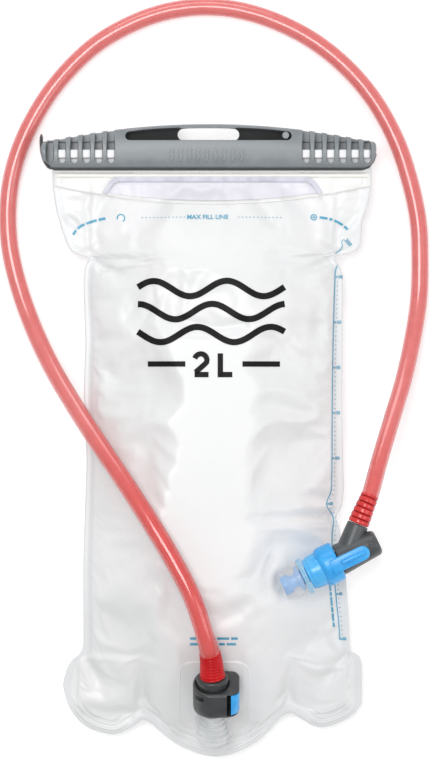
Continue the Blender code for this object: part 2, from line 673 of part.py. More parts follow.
# ---------------------------------------------------------------- drinking tube
def smooth_route(points, count):
    """Evenly spaced points on a smooth curve through the route's own points."""
    dense = []
    for i in range(len(points) - 1):
        p1, p2 = points[i], points[i + 1]
        p0 = points[i - 1] if i else p1 - (p2 - p1)
        p3 = points[i + 2] if i + 2 < len(points) else p2 + (p2 - p1)
        for step in range(12):
            t = step / 12
            dense.append(0.5 * (2 * p1 + (p2 - p0) * t + (2 * p0 - 5 * p1 + 4 * p2 - p3) * t * t
                                + (3 * p1 - 3 * p2 + p3 - p0) * t ** 3))
    dense.append(points[-1])
    reach = [0.0]
    for a, b in zip(dense, dense[1:]):
        reach.append(reach[-1] + (b - a).length)
    even = []
    k = 0
    for i in range(count):
        goal = reach[-1] * i / (count - 1)
        while k < len(reach) - 2 and reach[k + 1] < goal:
            k += 1
        even.append(dense[k].lerp(dense[k + 1], (goal - reach[k]) / (reach[k + 1] - reach[k])))
    return even


def drinking_tube(port_direction, branch_direction, valve_direction):
    start = PORT_FOOT + port_direction * (COLLAR_END + GAP)
    rise = start + port_direction * 0.012
    end = VALVE_CENTRE + valve_direction * BRANCH_STATION + branch_direction * (BRANCH_LENGTH + GAP)
    before = end + branch_direction * 0.009
    route = [start, rise] + [Vector(point) for point in TUBE_ROUTE] + [before, end]
    wire_curve("drinking_tube", smooth_route(route, TUBE_POINTS), TUBE_RADIUS, TUBE_RED, resolution=3)


# ---------------------------------------------------------------- assembly
def build():
    front = bag_panels()
    mouth(front)
    slide_clip()

    along = Vector((0, math.cos(PORT_TILT), math.sin(PORT_TILT)))
    inward = Vector((0, math.sin(PORT_TILT), -math.cos(PORT_TILT)))
    port_axis = frame_empty("port_axis", PORT_FOOT, (1, 0, 0), inward, along)
    port_pieces(front, port_axis)
    connector_pieces(port_axis)

    valve_direction = Vector((math.cos(VALVE_YAW), math.sin(VALVE_YAW), 0))
    branch_direction = Vector((math.cos(BRANCH_YAW), math.sin(BRANCH_YAW), 0))
    outward = Vector((math.sin(VALVE_YAW), -math.cos(VALVE_YAW), 0))
    valve_axis = frame_empty("valve_axis", VALVE_CENTRE, (0, 0, 1), outward, valve_direction)
    valve_elbow(valve_axis)
    twist_collar(valve_axis)
    bite_pieces(valve_axis)
    drinking_tube(along, branch_direction, valve_direction)


build()
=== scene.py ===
"""Looks of the hydration bladder: film bag, slide clip, port, connector, tube and bite valve.

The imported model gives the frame, in metres: +Y to the clip, +X across the bag, +Z up.
"""
import bisect
import json
import math

import bmesh
import bpy
from mathutils import Matrix, Vector, noise
from mathutils.bvhtree import BVHTree
from mathutils.kdtree import KDTree


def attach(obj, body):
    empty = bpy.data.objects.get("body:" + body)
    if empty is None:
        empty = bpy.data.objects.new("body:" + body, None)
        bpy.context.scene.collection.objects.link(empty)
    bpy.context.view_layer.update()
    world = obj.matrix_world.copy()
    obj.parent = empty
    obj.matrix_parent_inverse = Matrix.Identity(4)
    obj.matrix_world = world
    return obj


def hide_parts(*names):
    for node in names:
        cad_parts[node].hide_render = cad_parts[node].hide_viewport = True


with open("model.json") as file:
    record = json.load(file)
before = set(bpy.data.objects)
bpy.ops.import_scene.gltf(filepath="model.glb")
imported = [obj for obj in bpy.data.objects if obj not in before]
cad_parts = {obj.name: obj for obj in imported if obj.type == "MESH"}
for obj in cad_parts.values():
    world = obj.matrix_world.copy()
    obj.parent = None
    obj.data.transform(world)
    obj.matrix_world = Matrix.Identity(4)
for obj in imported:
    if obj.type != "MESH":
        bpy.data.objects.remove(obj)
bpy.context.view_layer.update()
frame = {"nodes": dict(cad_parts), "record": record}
SCENE = bpy.context.scene


def mm(*values):
    """Millimetres in metres, for numbers and for rows of them."""
    return tuple(mm(*value) if isinstance(value, tuple) else value / 1000 for value in values)


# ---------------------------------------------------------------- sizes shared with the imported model
BAG_X = 0.0022                      # the bag's middle
SEAM_Z = 0.0225                     # height of the weld seam
CLIP_HALF, CLIP_BOTTOM, CLIP_TOP = 0.0921, 0.150, 0.1743
CLIP_ARCH = 0.0096                  # how far the top edge falls at 90 mm from the middle
CLIP_DEPTH = 0.012
CLIP_CORNER = 0.0078
CHANNEL_Y = (0.1546, 0.1613)
CHANNEL_HALF, SLIT_HALF, CLIP_STOP = 0.0043, 0.0016, 0.0022
REAR_WALL, RIM = 0.0022, 0.0016
RECESS_HALF, RECESS_BOTTOM, HANG_HOLE_HALF = 0.0456, 0.1655, 0.0170
SLOTS, SLOT_FIRST, SLOT_PITCH, SLOT_WIDTH, SLOT_BOTTOM = 6, 0.0536, 0.0067, 0.00385, 0.1528

PORT_TILT = math.radians(25)
PORT_FOOT = Vector((BAG_X, -0.1617, 0.0308))
PORT_HEIGHT, FOOT_STATION = 0.0124, 0.0060
NECK_RIBS, NECK_WIDE, NECK_SLIM, NECK_LENGTH = 5, 0.0090, 0.0062, 0.0150
BODY_END, BODY_RADIUS = 0.0342, 0.0106
COLLAR_RADIUS, COLLAR_END = 0.0088, 0.0380
SPIGOT_END = 0.0240

VALVE_CENTRE = Vector((0.0704, -0.0640, 0.0487))
VALVE_YAW, BRANCH_YAW = math.radians(25.6), math.radians(68.0)
BRANCH_STATION, BRANCH_LENGTH, BRANCH_RADIUS = 0.0040, 0.0192, 0.0059
ELBOW_END, COLLAR_FRONT, BARREL_FRONT, FLANGE_FRONT, MOUTH = 0.0240, -0.0102, -0.0183, -0.0213, -0.0338

TUBE_RADIUS = 0.00475
GAP = 0.0003
TUBE_REST = TUBE_RADIUS + GAP
# the tube's middle line: up over the bag, down beside it, round the clip on the table, up to the valve
TUBE_ROUTE = [
    *mm((-1.6, -105, 58.5), (-8.4, -84, 61), (-19.2, -63, 59), (-32, -42, 54.5), (-45.8, -21, 47),
        (-60.4, 0, 37.2), (-74.3, 21, 26.5), (-86.9, 42, 16.5), (-97, 63, 9.2), (-104.7, 84, 5.8)),
    *((x, y, TUBE_REST) for x, y in mm(
        (-110, 106), (-111.3, 128), (-108.4, 150), (-100.5, 172), (-87.5, 194), (-71.3, 212.4),
        (-54.7, 225.1), (-32.5, 235.5), (-10.3, 240.3), (11.9, 239.8), (34.1, 234), (56.2, 223.2),
        (75.7, 208), (91.8, 189.1), (104, 166.9), (111.5, 144.7), (116.2, 122.6), (117.3, 100.4))),
    *mm((116.5, 78.2, 6.2), (112.8, 55.9, 11), (107.4, 33.8, 19.5), (100.3, 11.9, 30.8),
        (93.3, -9.8, 41.2), (88.4, -26.6, 47.2)),
]


def axes(origin, x_axis, y_axis, z_axis):
    """The matrix from a slanted piece's own axes to the frame."""
    return Matrix.Translation(origin) @ Matrix((x_axis, y_axis, z_axis)).transposed().to_4x4()


PORT_Z = Vector((0, math.cos(PORT_TILT), math.sin(PORT_TILT)))
PORT_AXIS = axes(PORT_FOOT, (1, 0, 0), (0, math.sin(PORT_TILT), -math.cos(PORT_TILT)), PORT_Z)
VALVE_Z = Vector((math.cos(VALVE_YAW), math.sin(VALVE_YAW), 0))
VALVE_OUT = Vector((math.sin(VALVE_YAW), -math.cos(VALVE_YAW), 0))
VALVE_AXIS = axes(VALVE_CENTRE, (0, 0, 1), VALVE_OUT, VALVE_Z)
BRANCH_Z = Vector((math.cos(BRANCH_YAW), math.sin(BRANCH_YAW), 0))
BRANCH_SIDE = Vector((math.sin(BRANCH_YAW), -math.cos(BRANCH_YAW), 0))
BRANCH_AXIS = axes(VALVE_CENTRE + VALVE_Z * BRANCH_STATION, (0, 0, 1), BRANCH_SIDE, BRANCH_Z)

# ---------------------------------------------------------------- camera
CAMERA_HEIGHT = 2.0
MID_HEIGHT = 0.022                  # height of the clip and seam, where the view's scale is set
VIEW_CENTRE = (0.0036, 0.0338)
VIEW_TALL = 0.418                   # length of the picture's tall side at MID_HEIGHT
SENSOR = 36.0


def placed(name, data):
    """A new object in the scene."""
    made = bpy.data.objects.new(name, data)
    SCENE.collection.objects.link(made)
    return made


def make_camera():
    data = bpy.data.cameras.new("camera")
    data.sensor_width = SENSOR
    data.lens = SENSOR * (CAMERA_HEIGHT - MID_HEIGHT) / VIEW_TALL
    SCENE.camera = placed("camera", data)
    SCENE.camera.location = (*VIEW_CENTRE, CAMERA_HEIGHT)


make_camera()


# ---------------------------------------------------------------- light and floor
def soft_box(name, place, aim, size, watts):
    light = bpy.data.lights.new(name, "AREA")
    light.shape = "RECTANGLE"
    light.size, light.size_y = size
    light.energy = watts
    lamp = placed(name, light)
    lamp.location = place
    lamp.rotation_euler = (Vector(aim) - Vector(place)).to_track_quat("-Z", "Y").to_euler()


def studio():
    world = bpy.data.worlds.new("studio")
    world.use_nodes = True
    sky = world.node_tree.nodes.get("Background") or world.node_tree.nodes.new("ShaderNodeBackground")
    sky.inputs["Color"].default_value = (1, 1, 1, 1)
    sky.inputs["Strength"].default_value = 0.55
    SCENE.world = world
    soft_box("top_light", (-0.25, 0.25, 1.7), (0, 0.05, 0), (0.7, 0.7), 12.5)
    soft_box("fill", (1.0, -0.2, 1.1), (0, 0, 0), (0.6, 1.0), 3.5)
    soft_box("back_light", (-0.1, 1.2, 0.7), (0, -0.05, 0.03), (0.9, 0.4), 3.5)
    SCENE.view_settings.view_transform = "Standard"


studio()


# ---------------------------------------------------------------- materials
def set_sockets(node, **sockets):
    for socket, value in sockets.items():
        node.inputs[socket.replace("_", " ")].default_value = value
    return node


def add_node(made, kind, **sockets):
    return set_sockets(made.node_tree.nodes.new("ShaderNode" + kind), **sockets)


def wire(made, source, output, target, socket):
    made.node_tree.links.new(source.outputs[output], target.inputs[socket])


def from_object(made, node):
    """Feed a node with the object's own coordinates."""
    wire(made, add_node(made, "TexCoord"), "Object", node, "Vector")


def surface_node(made):
    return made.node_tree.nodes["Principled BSDF"]


def shader(name, colour, roughness, **sockets):
    """A Principled material; what doesn't vary is set straight on its sockets."""
    made = bpy.data.materials.new(name)
    made.use_nodes = True
    set_sockets(surface_node(made), Base_Color=(*colour, 1), Roughness=roughness, **sockets)
    return made


def grain(made, scale, strength, distance=0.0002):
    """Fine bump from noise in the object's own coordinates."""
    speck = add_node(made, "TexNoise", Scale=scale, Detail=3.0)
    bump = add_node(made, "Bump", Strength=strength, Distance=distance)
    from_object(made, speck)
    wire(made, speck, "Fac", bump, "Height")
    wire(made, bump, "Normal", surface_node(made), "Normal")


def colour_ramp(made, source, output, low, high, start=0.0, end=1.0):
    """The surface's colour goes from low to high as a value goes from start to end."""
    ramp = add_node(made, "ValToRGB")
    for element, place, colour in zip(ramp.color_ramp.elements, (start, end), (low, high)):
        element.position, element.color = place, (*colour, 1)
    wire(made, source, output, ramp, "Fac")
    wire(made, ramp, "Color", surface_node(made), "Base Color")


def mottle(made, low, high, scale, rough):
    """Slow variation of the colour, and of the roughness with it."""
    cloud = add_node(made, "TexNoise", Scale=scale, Detail=4.0)
    from_object(made, cloud)
    colour_ramp(made, cloud, "Fac", low, high, 0.35, 0.68)
    spread = add_node(made, "MapRange", From_Min=0.3, From_Max=0.7, To_Min=rough[0], To_Max=rough[1])
    wire(made, cloud, "Fac", spread, "Value")
    wire(made, spread, "Result", surface_node(made), "Roughness")


def painted_light_by_height(made, low, high, start, end):
    """Painted light: colour that changes with the height above the table, in place of its slow variation."""
    split = add_node(made, "SeparateXYZ")
    spread = add_node(made, "MapRange", From_Min=start, From_Max=end)
    from_object(made, split)
    wire(made, split, "Z", spread, "Value")
    colour_ramp(made, spread, "Result", low, high)


def film_look(name, low, high, **sockets):
    """Frosted film: a faint cloudiness and a fine matt grain."""
    made = shader(name, high, 0.36, Coat_Weight=0.25, Coat_Roughness=0.3, **sockets)
    mottle(made, low, high, 22, (0.32, 0.44))
    grain(made, 1400, 0.25)
    return made


def moulded(name, dark, light, rough, **sockets):
    """Moulded plastic: its colour and roughness drift a little, over a fine grain."""
    made = shader(name, light, rough[0], **sockets)
    mottle(made, dark, light, 130, rough)
    grain(made, 2600, 0.3, 0.0001)
    return made


FILM = film_look("frosted_film", (0.80, 0.81, 0.81), (0.86, 0.86, 0.87), Alpha=0.9)
MARGIN_FILM = film_look("margin_film", (0.76, 0.77, 0.78), (0.81, 0.82, 0.83), Alpha=0.9)
BAND_FILM = film_look("band_film", (0.84, 0.84, 0.83), (0.88, 0.88, 0.87), Alpha=0.93)
CREAM_FILM = film_look("cream_film", (0.82, 0.81, 0.76), (0.86, 0.85, 0.80))
GRIP_FILM = film_look("grip_film", (0.70, 0.69, 0.75), (0.74, 0.73, 0.79))
# Painted shade: the darker lavender of the raised rim stands for shade on the grip panel's sloped edge
GRIP_RIM_SHADE = film_look("grip_rim_painted_shade", (0.50, 0.50, 0.58), (0.56, 0.56, 0.64))
WELD_FILM = film_look("weld_film", (0.69, 0.70, 0.70), (0.77, 0.78, 0.78))
CLIP_GREY = moulded("clip_grey", (0.20, 0.22, 0.235), (0.235, 0.255, 0.27), (0.28, 0.38))
# Painted shade: near black for the shade inside the clip's hang recess
RECESS_PAINTED_SHADE = moulded("recess_painted_shade", (0.010, 0.011, 0.012), (0.016, 0.018, 0.019), (0.65, 0.75))
# Dark grey of the clip's end tab; along the clip's lower edge the same colour is painted shade
TAB_GREY_AND_LIP_SHADE = moulded("tab_grey_and_lip_shade", (0.030, 0.032, 0.035), (0.042, 0.044, 0.047), (0.35, 0.45))
RAIL_WHITE = moulded("rail_white", (0.84, 0.84, 0.86), (0.9, 0.9, 0.92), (0.4, 0.5))
DARK_GREY = moulded("connector_grey", (0.034, 0.035, 0.037), (0.048, 0.05, 0.052), (0.28, 0.38))
ELBOW_GREY = moulded("elbow_grey", (0.062, 0.068, 0.072), (0.08, 0.086, 0.09), (0.30, 0.42))
BLUE = moulded("signal_blue", (0.030, 0.34, 0.78), (0.045, 0.41, 0.85), (0.22, 0.32))
LIGHT_BLUE = moulded("light_blue", (0.07, 0.45, 0.88), (0.12, 0.52, 0.92), (0.16, 0.26), Alpha=0.93)
CLEAR = moulded("clear_plastic", (0.73, 0.75, 0.76), (0.83, 0.84, 0.85), (0.08, 0.14), Alpha=0.66)
SILICONE = moulded("clear_silicone", (0.90, 0.885, 0.86), (0.95, 0.935, 0.91), (0.10, 0.18), Alpha=0.19)
FLANGE_BLUE = moulded("flange_blue", (0.36, 0.68, 0.93), (0.44, 0.75, 0.95), (0.10, 0.18), Alpha=0.60)
TUBE_RED = moulded("tube_red", (0.74, 0.060, 0.055), (0.80, 0.085, 0.080), (0.16, 0.24), Alpha=0.64,
                    Coat_Weight=1.0, Coat_Roughness=0.14, Coat_IOR=1.7)
# Painted light: the bore's pale colour stands in for light through the red tube's middle and its broad
# highlight, painted paler low down on the table and deeper red up over the bag
TUBE_BORE_PAINTED_LIGHT = moulded("tube_bore_painted_light", (0.97, 0.76, 0.73), (0.99, 0.84, 0.81), (0.3, 0.4))
painted_light_by_height(TUBE_BORE_PAINTED_LIGHT, (0.99, 0.84, 0.81), (0.90, 0.26, 0.24), 0.032, 0.058)
SLEEVE_RED = moulded("stretched_red", (0.60, 0.030, 0.030), (0.68, 0.045, 0.042), (0.14, 0.22))
DEEP_RED = moulded("deep_red", (0.50, 0.008, 0.012), (0.58, 0.014, 0.017), (0.16, 0.24),
                   Specular_IOR_Level=0.15)
# Painted shade: dark red for the grooves between the barbs at the tube's elbow end
BARB_GROOVE_SHADE = moulded("barb_groove_painted_shade", (0.34, 0.008, 0.010), (0.40, 0.014, 0.016), (0.20, 0.30))
STEEL = moulded("spring_steel", (0.5, 0.51, 0.53), (0.58, 0.59, 0.61), (0.25, 0.35), Metallic=1.0)
# Black of the seals; the same colour inside the bite core's hollow is painted shade
SEAL_BLACK_AND_HOLLOW_SHADE = moulded("seal_black", (0.015, 0.015, 0.015), (0.025, 0.025, 0.025), (0.5, 0.6))
PRINT_BLUE = moulded("print_blue", (0.07, 0.33, 0.50), (0.11, 0.42, 0.60), (0.35, 0.45))
PRINT_BLACK = moulded("print_black", (0.004, 0.004, 0.005), (0.007, 0.007, 0.008), (0.5, 0.6),
                      Specular_IOR_Level=0.2)

BY_SLOT = {
    "film": FILM, "band_film": BAND_FILM, "grip_film": GRIP_FILM, "rail": RAIL_WHITE, "clip": CLIP_GREY,
    "port": CLEAR, "seal": SEAL_BLACK_AND_HOLLOW_SHADE, "spring": STEEL, "connector": DARK_GREY, "elbow": ELBOW_GREY,
    "blue": BLUE, "light_blue": LIGHT_BLUE, "silicone": SILICONE, "tube": TUBE_RED,
}


def dress_nodes():
    """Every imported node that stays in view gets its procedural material."""
    for part in frame["record"]["subparts"]:
        thing = frame["nodes"][part["node"]]
        thing.data.materials.clear()
        thing.data.materials.append(BY_SLOT[part["material_slot"]])


dress_nodes()


def make_floor():
    bpy.ops.mesh.primitive_plane_add(size=6, location=(0, 0, -0.0004))
    floor = bpy.context.object
    floor.name = "floor"
    paper = shader("paper", (0.93, 0.93, 0.93), 0.9, Emission_Color=(1, 1, 1, 1), Emission_Strength=0.22)
    floor.data.materials.append(paper)


make_floor()


# ---------------------------------------------------------------- mesh tools
def eased(share):
    share = min(1.0, max(0.0, share))
    return share * share * (3 - 2 * share)


def between(low, high, share):
    return low + (high - low) * share


def mesh_of(name, shape):
    """A mesh from a bmesh, which is freed."""
    mesh = bpy.data.meshes.new(name)
    shape.to_mesh(mesh)
    shape.free()
    return mesh


def new_piece(name, shape, look, body, slot, *replaced, sharp=35):
    """A piece from a bmesh: shaded, dressed, and riding on its body."""
    shape.normal_update()
    mesh = mesh_of(name, shape)
    mesh.shade_smooth()
    mesh.set_sharp_from_angle(angle=math.radians(sharp))
    mesh.materials.append(look)
    made = placed(name, mesh)
    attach(made, body)
    if replaced:
        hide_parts(*replaced)
    return made


def arc(x, y, radius, start, end, steps=12):
    """Points of an arc, from angle to angle in degrees."""
    angles = [math.radians(between(start, end, i / steps)) for i in range(steps + 1)]
    return [(x + radius * math.cos(a), y + radius * math.sin(a)) for a in angles]


def soften(points, reach, closed=False, steps=4):
    """Round an outline's corners over a reach along both of their sides."""
    made = []
    count = len(points)
    for i, point in enumerate(points):
        here = Vector(point)
        if not closed and i in (0, count - 1):
            made.append(tuple(here))
            continue
        to_last = Vector(points[i - 1]) - here
        to_next = Vector(points[(i + 1) % count]) - here
        start = here + to_last * min(0.45, reach / to_last.length)
        end = here + to_next * min(0.45, reach / to_next.length)
        for step in range(steps + 1):
            t = step / steps
            made.append(tuple(start * (1 - t) ** 2 + here * (2 * t * (1 - t)) + end * t * t))
    return made


def ring_faces(shape, upper, lower):
    """Faces between two rings of vertices, either of which may be a single point."""
    count = max(len(upper), len(lower))
    for i in range(count):
        k = (i + 1) % count
        if len(upper) == 1:
            shape.faces.new((upper[0], lower[i], lower[k]))
        elif len(lower) == 1:
            shape.faces.new((upper[i], lower[0], upper[k]))
        else:
            shape.faces.new((upper[i], lower[i], lower[k], upper[k]))


def loft(rings):
    """A closed solid through rings of points, flat at both ends."""
    shape = bmesh.new()
    rings = [[shape.verts.new(point) for point in ring] for ring in rings]
    for upper, lower in zip(rings, rings[1:]):
        ring_faces(shape, upper, lower)
    shape.faces.new(rings[0])
    shape.faces.new(rings[-1][::-1])
    bmesh.ops.recalc_face_normals(shape, faces=shape.faces)
    return shape


def lathe(profile, axis, sides=64, closed=False, wave=None):
    """A turned solid: (radius, station) points, closed on themselves or at the axis."""
    shape = bmesh.new()
    rings = []
    for radius, station in profile:
        ring = []
        for i in range(sides if radius else 1):
            angle = 2 * math.pi * i / sides
            lift = wave(angle, station) if wave else 0
            ring.append(shape.verts.new(
                axis @ Vector((radius * math.cos(angle), radius * math.sin(angle), station + lift))))
        rings.append(ring)
    if closed:
        rings.append(rings[0])
    for upper, lower in zip(rings, rings[1:]):
        ring_faces(shape, upper, lower)
    bmesh.ops.recalc_face_normals(shape, faces=shape.faces)
    return shape


def turned(name, profile, reach, axis, look, body, slot, *replaced, closed=False, sides=64):
    """A turned piece whose corners are rounded over a reach."""
    shape = lathe(soften(profile, reach, closed), axis, sides, closed)
    return new_piece(name, shape, look, body, slot, *replaced)


def rounded_box(low, high, radius=0.0, axis=Matrix()):
    shape = bmesh.new()
    low, high = Vector(low), Vector(high)
    bmesh.ops.create_cube(shape, size=1)
    for vertex in shape.verts:
        vertex.co = (low + high) / 2 + Vector(a * b for a, b in zip(vertex.co, high - low))
    if radius:
        bmesh.ops.bevel(shape, geom=shape.edges, offset=radius, segments=3, affect="EDGES", profile=0.5)
    shape.transform(axis)
    return shape


def prism(outline, low, high, axis=Matrix()):
    """A flat outline in XY between two heights."""
    return loft([axis @ Vector((x, y, z)) for x, y in outline] for z in (high, low))


def flared(outline_at, low, neck, high, flare):
    """A prism that widens above its neck; outline_at gives the outline for a growth."""
    return loft([(x, y, z) for x, y in outline_at(grow)] for z, grow in ((high, flare), (neck, 0), (low, 0)))


def joined(*shapes):
    """Several closed shapes in one, for a cutter or a row of print."""
    whole = bmesh.new()
    for shape in shapes:
        mesh = mesh_of("part", shape)
        whole.from_mesh(mesh)
        bpy.data.meshes.remove(mesh)
    return whole


def carved(base, *cuts, added=(), within=()):
    """The shape left after Booleans: what is added, then what it stays within, then the cuts."""
    steps = [(operation, placed("helper", mesh_of("helper", shape)))
             for operation, shapes in (("UNION", added), ("INTERSECT", within), ("DIFFERENCE", cuts))
             for shape in shapes]
    base = placed("helper", mesh_of("helper", base))
    for operation, tool in steps:
        cut = base.modifiers.new("cut", "BOOLEAN")
        cut.operation, cut.solver, cut.object = operation, "EXACT", tool
    bpy.context.view_layer.update()
    result = bmesh.new()
    result.from_object(base, bpy.context.evaluated_depsgraph_get())
    for helper in (base, *(tool for _, tool in steps)):
        mesh = helper.data
        bpy.data.objects.remove(helper)
        bpy.data.meshes.remove(mesh)
    return result


def smooth_curve(points, steps=12):
    """Points on a Catmull-Rom curve through the given ones, which may leave out their height."""
    points = [Vector((*point, 0)[:3]) for point in points]
    dense = []
    for i in range(len(points) - 1):
        p1, p2 = points[i], points[i + 1]
        p0 = points[i - 1] if i else p1 - (p2 - p1)
        p3 = points[i + 2] if i + 2 < len(points) else p2 + (p2 - p1)
        for step in range(steps):
            t = step / steps
            dense.append(0.5 * (2 * p1 + (p2 - p0) * t + (2 * p0 - 5 * p1 + 4 * p2 - p3) * t * t
                                + (3 * p1 - 3 * p2 + p3 - p0) * t ** 3))
    dense.append(points[-1])
    return dense


class Line:
    """A dense polyline that can be read at any distance along it."""

    def __init__(self, points):
        self.points = points
        self.reach = [0.0]
        for a, b in zip(points, points[1:]):
            self.reach.append(self.reach[-1] + (b - a).length)
        self.length = self.reach[-1]

    def at(self, distance):
        k = min(max(bisect.bisect_right(self.reach, distance) - 1, 0), len(self.points) - 2)
        return self.points[k].lerp(self.points[k + 1],
                                   (distance - self.reach[k]) / (self.reach[k + 1] - self.reach[k]))

    def spaced(self, step):
        count = max(1, round(self.length / step))
        return [self.at(self.length * i / count) for i in range(count + 1)]


def flat_line(points, step):
    """Evenly spaced points along a line, at no height."""
    return Line([Vector((*point[:2], 0)) for point in points]).spaced(step)


def neighbours(points):
    """Each point with the way from the one before it to the one after."""
    last = len(points) - 1
    return [(here, points[min(i + 1, last)] - points[max(i - 1, 0)]) for i, here in enumerate(points)]


def sweep(points, radii, sides=32, flat=1.0):
    """A tube along points that never runs straight up; flat squeezes it in height."""
    rings = []
    for (here, ahead), radius in zip(neighbours(points), radii):
        across = ahead.cross(Vector((0, 0, 1))).normalized()
        above = across.cross(ahead).normalized() * flat
        rings.append([here + (across * math.cos(a) + above * math.sin(a)) * radius
                      for a in (2 * math.pi * k / sides for k in range(sides))])
    return loft(rings)


def lay(shape, grid, surface, lift, height):
    """Add a closed sheet lying on a surface: rows of (x, y), and a height from the row and column."""
    tops, feet = [], []
    for j, row in enumerate(grid):
        levels = [surface(x, y) + lift for x, y in row]
        tops.append([shape.verts.new((x, y, z + height(i, j)))
                     for i, ((x, y), z) in enumerate(zip(row, levels))])
        feet.append([shape.verts.new((x, y, z)) for (x, y), z in zip(row, levels)])
    for j in range(len(grid) - 1):
        for i in range(len(grid[0]) - 1):
            shape.faces.new((tops[j][i], tops[j][i + 1], tops[j + 1][i + 1], tops[j + 1][i]))
            shape.faces.new((feet[j + 1][i], feet[j + 1][i + 1], feet[j][i + 1], feet[j][i]))
    ring_faces(shape, rim_of(tops), rim_of(feet))
    bmesh.ops.recalc_face_normals(shape, faces=shape.faces)


def rim_of(grid):
    """A grid's outer vertices, once round."""
    return [row[0] for row in grid] + grid[-1][1:] + [row[-1] for row in grid[-2::-1]] + grid[0][-2:0:-1]


def stroke(shape, line, width, surface, lift=0.00012, thick=0.00016, step=0.0014):
    """Add a flat stroke that follows a line over a surface, and give the shape back."""
    columns = max(1, round(width / 0.0013))
    grid = []
    for here, ahead in neighbours(flat_line(line, step)):
        ahead.normalize()
        side = Vector((-ahead.y, ahead.x, 0)) * width / 2
        grid.append([tuple((here + side * (1 - 2 * c / columns))[:2]) for c in range(columns + 1)])
    lay(shape, grid, surface, lift, lambda i, j: thick)
    return shape


def surface_of(thing):
    """A function that gives a piece's height at x, y."""
    bpy.context.view_layer.update()
    tree = BVHTree.FromObject(thing, bpy.context.evaluated_depsgraph_get())

    def height(x, y):
        hit = tree.ray_cast(Vector((x, y, 0.2)), Vector((0, 0, -1)))[0]
        return hit.z if hit else tree.find_nearest(Vector((x, y, SEAM_Z)))[0].z
    return height


# ---------------------------------------------------------------- the tube's line
def tube_line():
    start = PORT_FOOT + PORT_Z * (COLLAR_END + GAP)
    end = BRANCH_AXIS @ Vector((0, 0, BRANCH_LENGTH + GAP))
    lean = Vector((-0.0010, 0, 0))
    route = [start, start + PORT_Z * 0.012 + lean, *TUBE_ROUTE, end + BRANCH_Z * 0.009, end]
    return Line(smooth_curve(route))


TUBE = tube_line()

# ---------------------------------------------------------------- the bag's film
FILM_TOP = 0.1600
SEAM_END_Z = 0.012
SEAM_HALF = 0.0007                  # half the thickness of the two films welded together
BULGE = 0.0248
BOTTOM_RISE = 0.085
WELD = 0.0075
MARGIN = 0.0050                     # the strip along the seam where both films are welded flat
EAR_HALF = 0.0826
COLUMNS, ROWS = 76, 150
SWELL_STEPS = 16
SWELL_CAP = 0.0045
FLOOR_REST = 0.0002
# half widths of the film, top to bottom: the mouth flares, then a notch, the body, and the ears
LEFT_EDGE = mm(
    (162, 88), (140, 88), (127, 86), (116, 82.8), (107.5, 79.7), (104.5, 77.6), (102.6, 74.2), (101.4, 66.8),
    (99.5, 67.6), (96.6, 70.2), (86, 71), (55, 69.9), (28, 70.8), (-10, 69.3), (-65, 71.1), (-115, 71.2),
    (-117.2, 72.2), (-118.4, 75.2), (-120.5, 77.8), (-124, 80)) + ((-0.133, EAR_HALF),)
RIGHT_EDGE = mm(
    (162, 87.7), (140, 87.4), (130, 85.6), (121, 82.2), (108.5, 81.8), (105, 79.4), (103, 74.8),
    (101.8, 66.4), (99, 67.6), (95.5, 70.6), (90, 71.9), (64, 71.8), (20, 71.2), (-27, 72.4), (-36, 71.1),
    (-41.6, 67.7), (-47, 69.9), (-75, 73.6), (-112, 76), (-115.8, 76.4), (-117.2, 79.6),
    (-118.8, 81.6)) + ((-0.1225, EAR_HALF),)
# the three lobes along the bottom, left to right
BOTTOM_EDGE = smooth_curve(mm(
    (-80.6, -135), (-76.8, -147.2), (-67.9, -157.4), (-53.5, -162), (-43.2, -158.5), (-37.5, -154),
    (-33, -155), (-16, -168.2), (5, -174.4), (25.6, -167), (40, -152.5), (45, -149.7), (50, -152.5),
    (60, -158), (69.6, -156.6), (80, -151), (85, -144)), 8)
BOTTOM_X = [point.x for point in BOTTOM_EDGE]
# creases: start, end, width at the start, depth
CREASES = mm(
    ((-65, 100), (-40, 87), 3.4, 3), ((-66, 103), (-47, 115), 3.4, 2.6),
    ((69, 100), (42, 88), 3.6, 3), ((69, 103.5), (48, 113), 3.4, 2.4),
    ((70, -33), (33, -24), 3.4, 2.6), ((68, -40), (40, -40), 3.2, 2.2),
    ((-69, -116), (-56, -142), 4, 2.8), ((77, -116), (56, -140), 4, 2.8),
    ((-37.5, -150), (-33, -124), 4, 2), ((45, -146), (40, -120), 4, 2),
    ((-80, 125), (-56, 105), 3.4, 1.8), ((83, 125), (64, 110), 3.4, 1.8),
    ((-66, 70), (-48, 20), 5, 1), ((60, 70), (54, 0), 5, 0.9))


def edge_at(stations, y):
    """A line's x at a y, from its (y, x) stations, top to bottom."""
    if y >= stations[0][0]:
        return stations[0][1]
    for (y_up, w_up), (y_down, w_down) in zip(stations, stations[1:]):
        if y >= y_down:
            return between(w_up, w_down, (y_up - y) / (y_up - y_down))
    return stations[-1][1]


def half_width(side, y):
    """The film's half width on one side, with the corners between stations rounded off."""
    stations = LEFT_EDGE if side < 0 else RIGHT_EDGE
    return sum(edge_at(stations, y + step * 0.0006) for step in (-1, 0, 1)) / 3


def bottom_edge(x):
    k = min(max(bisect.bisect_right(BOTTOM_X, x) - 1, 0), len(BOTTOM_X) - 2)
    share = (x - BOTTOM_X[k]) / (BOTTOM_X[k + 1] - BOTTOM_X[k])
    return between(BOTTOM_EDGE[k].y, BOTTOM_EDGE[k + 1].y, min(1.0, max(0.0, share)))


def seam_height(y):
    return between(SEAM_END_Z, SEAM_Z, eased((y + 0.174) / 0.114))


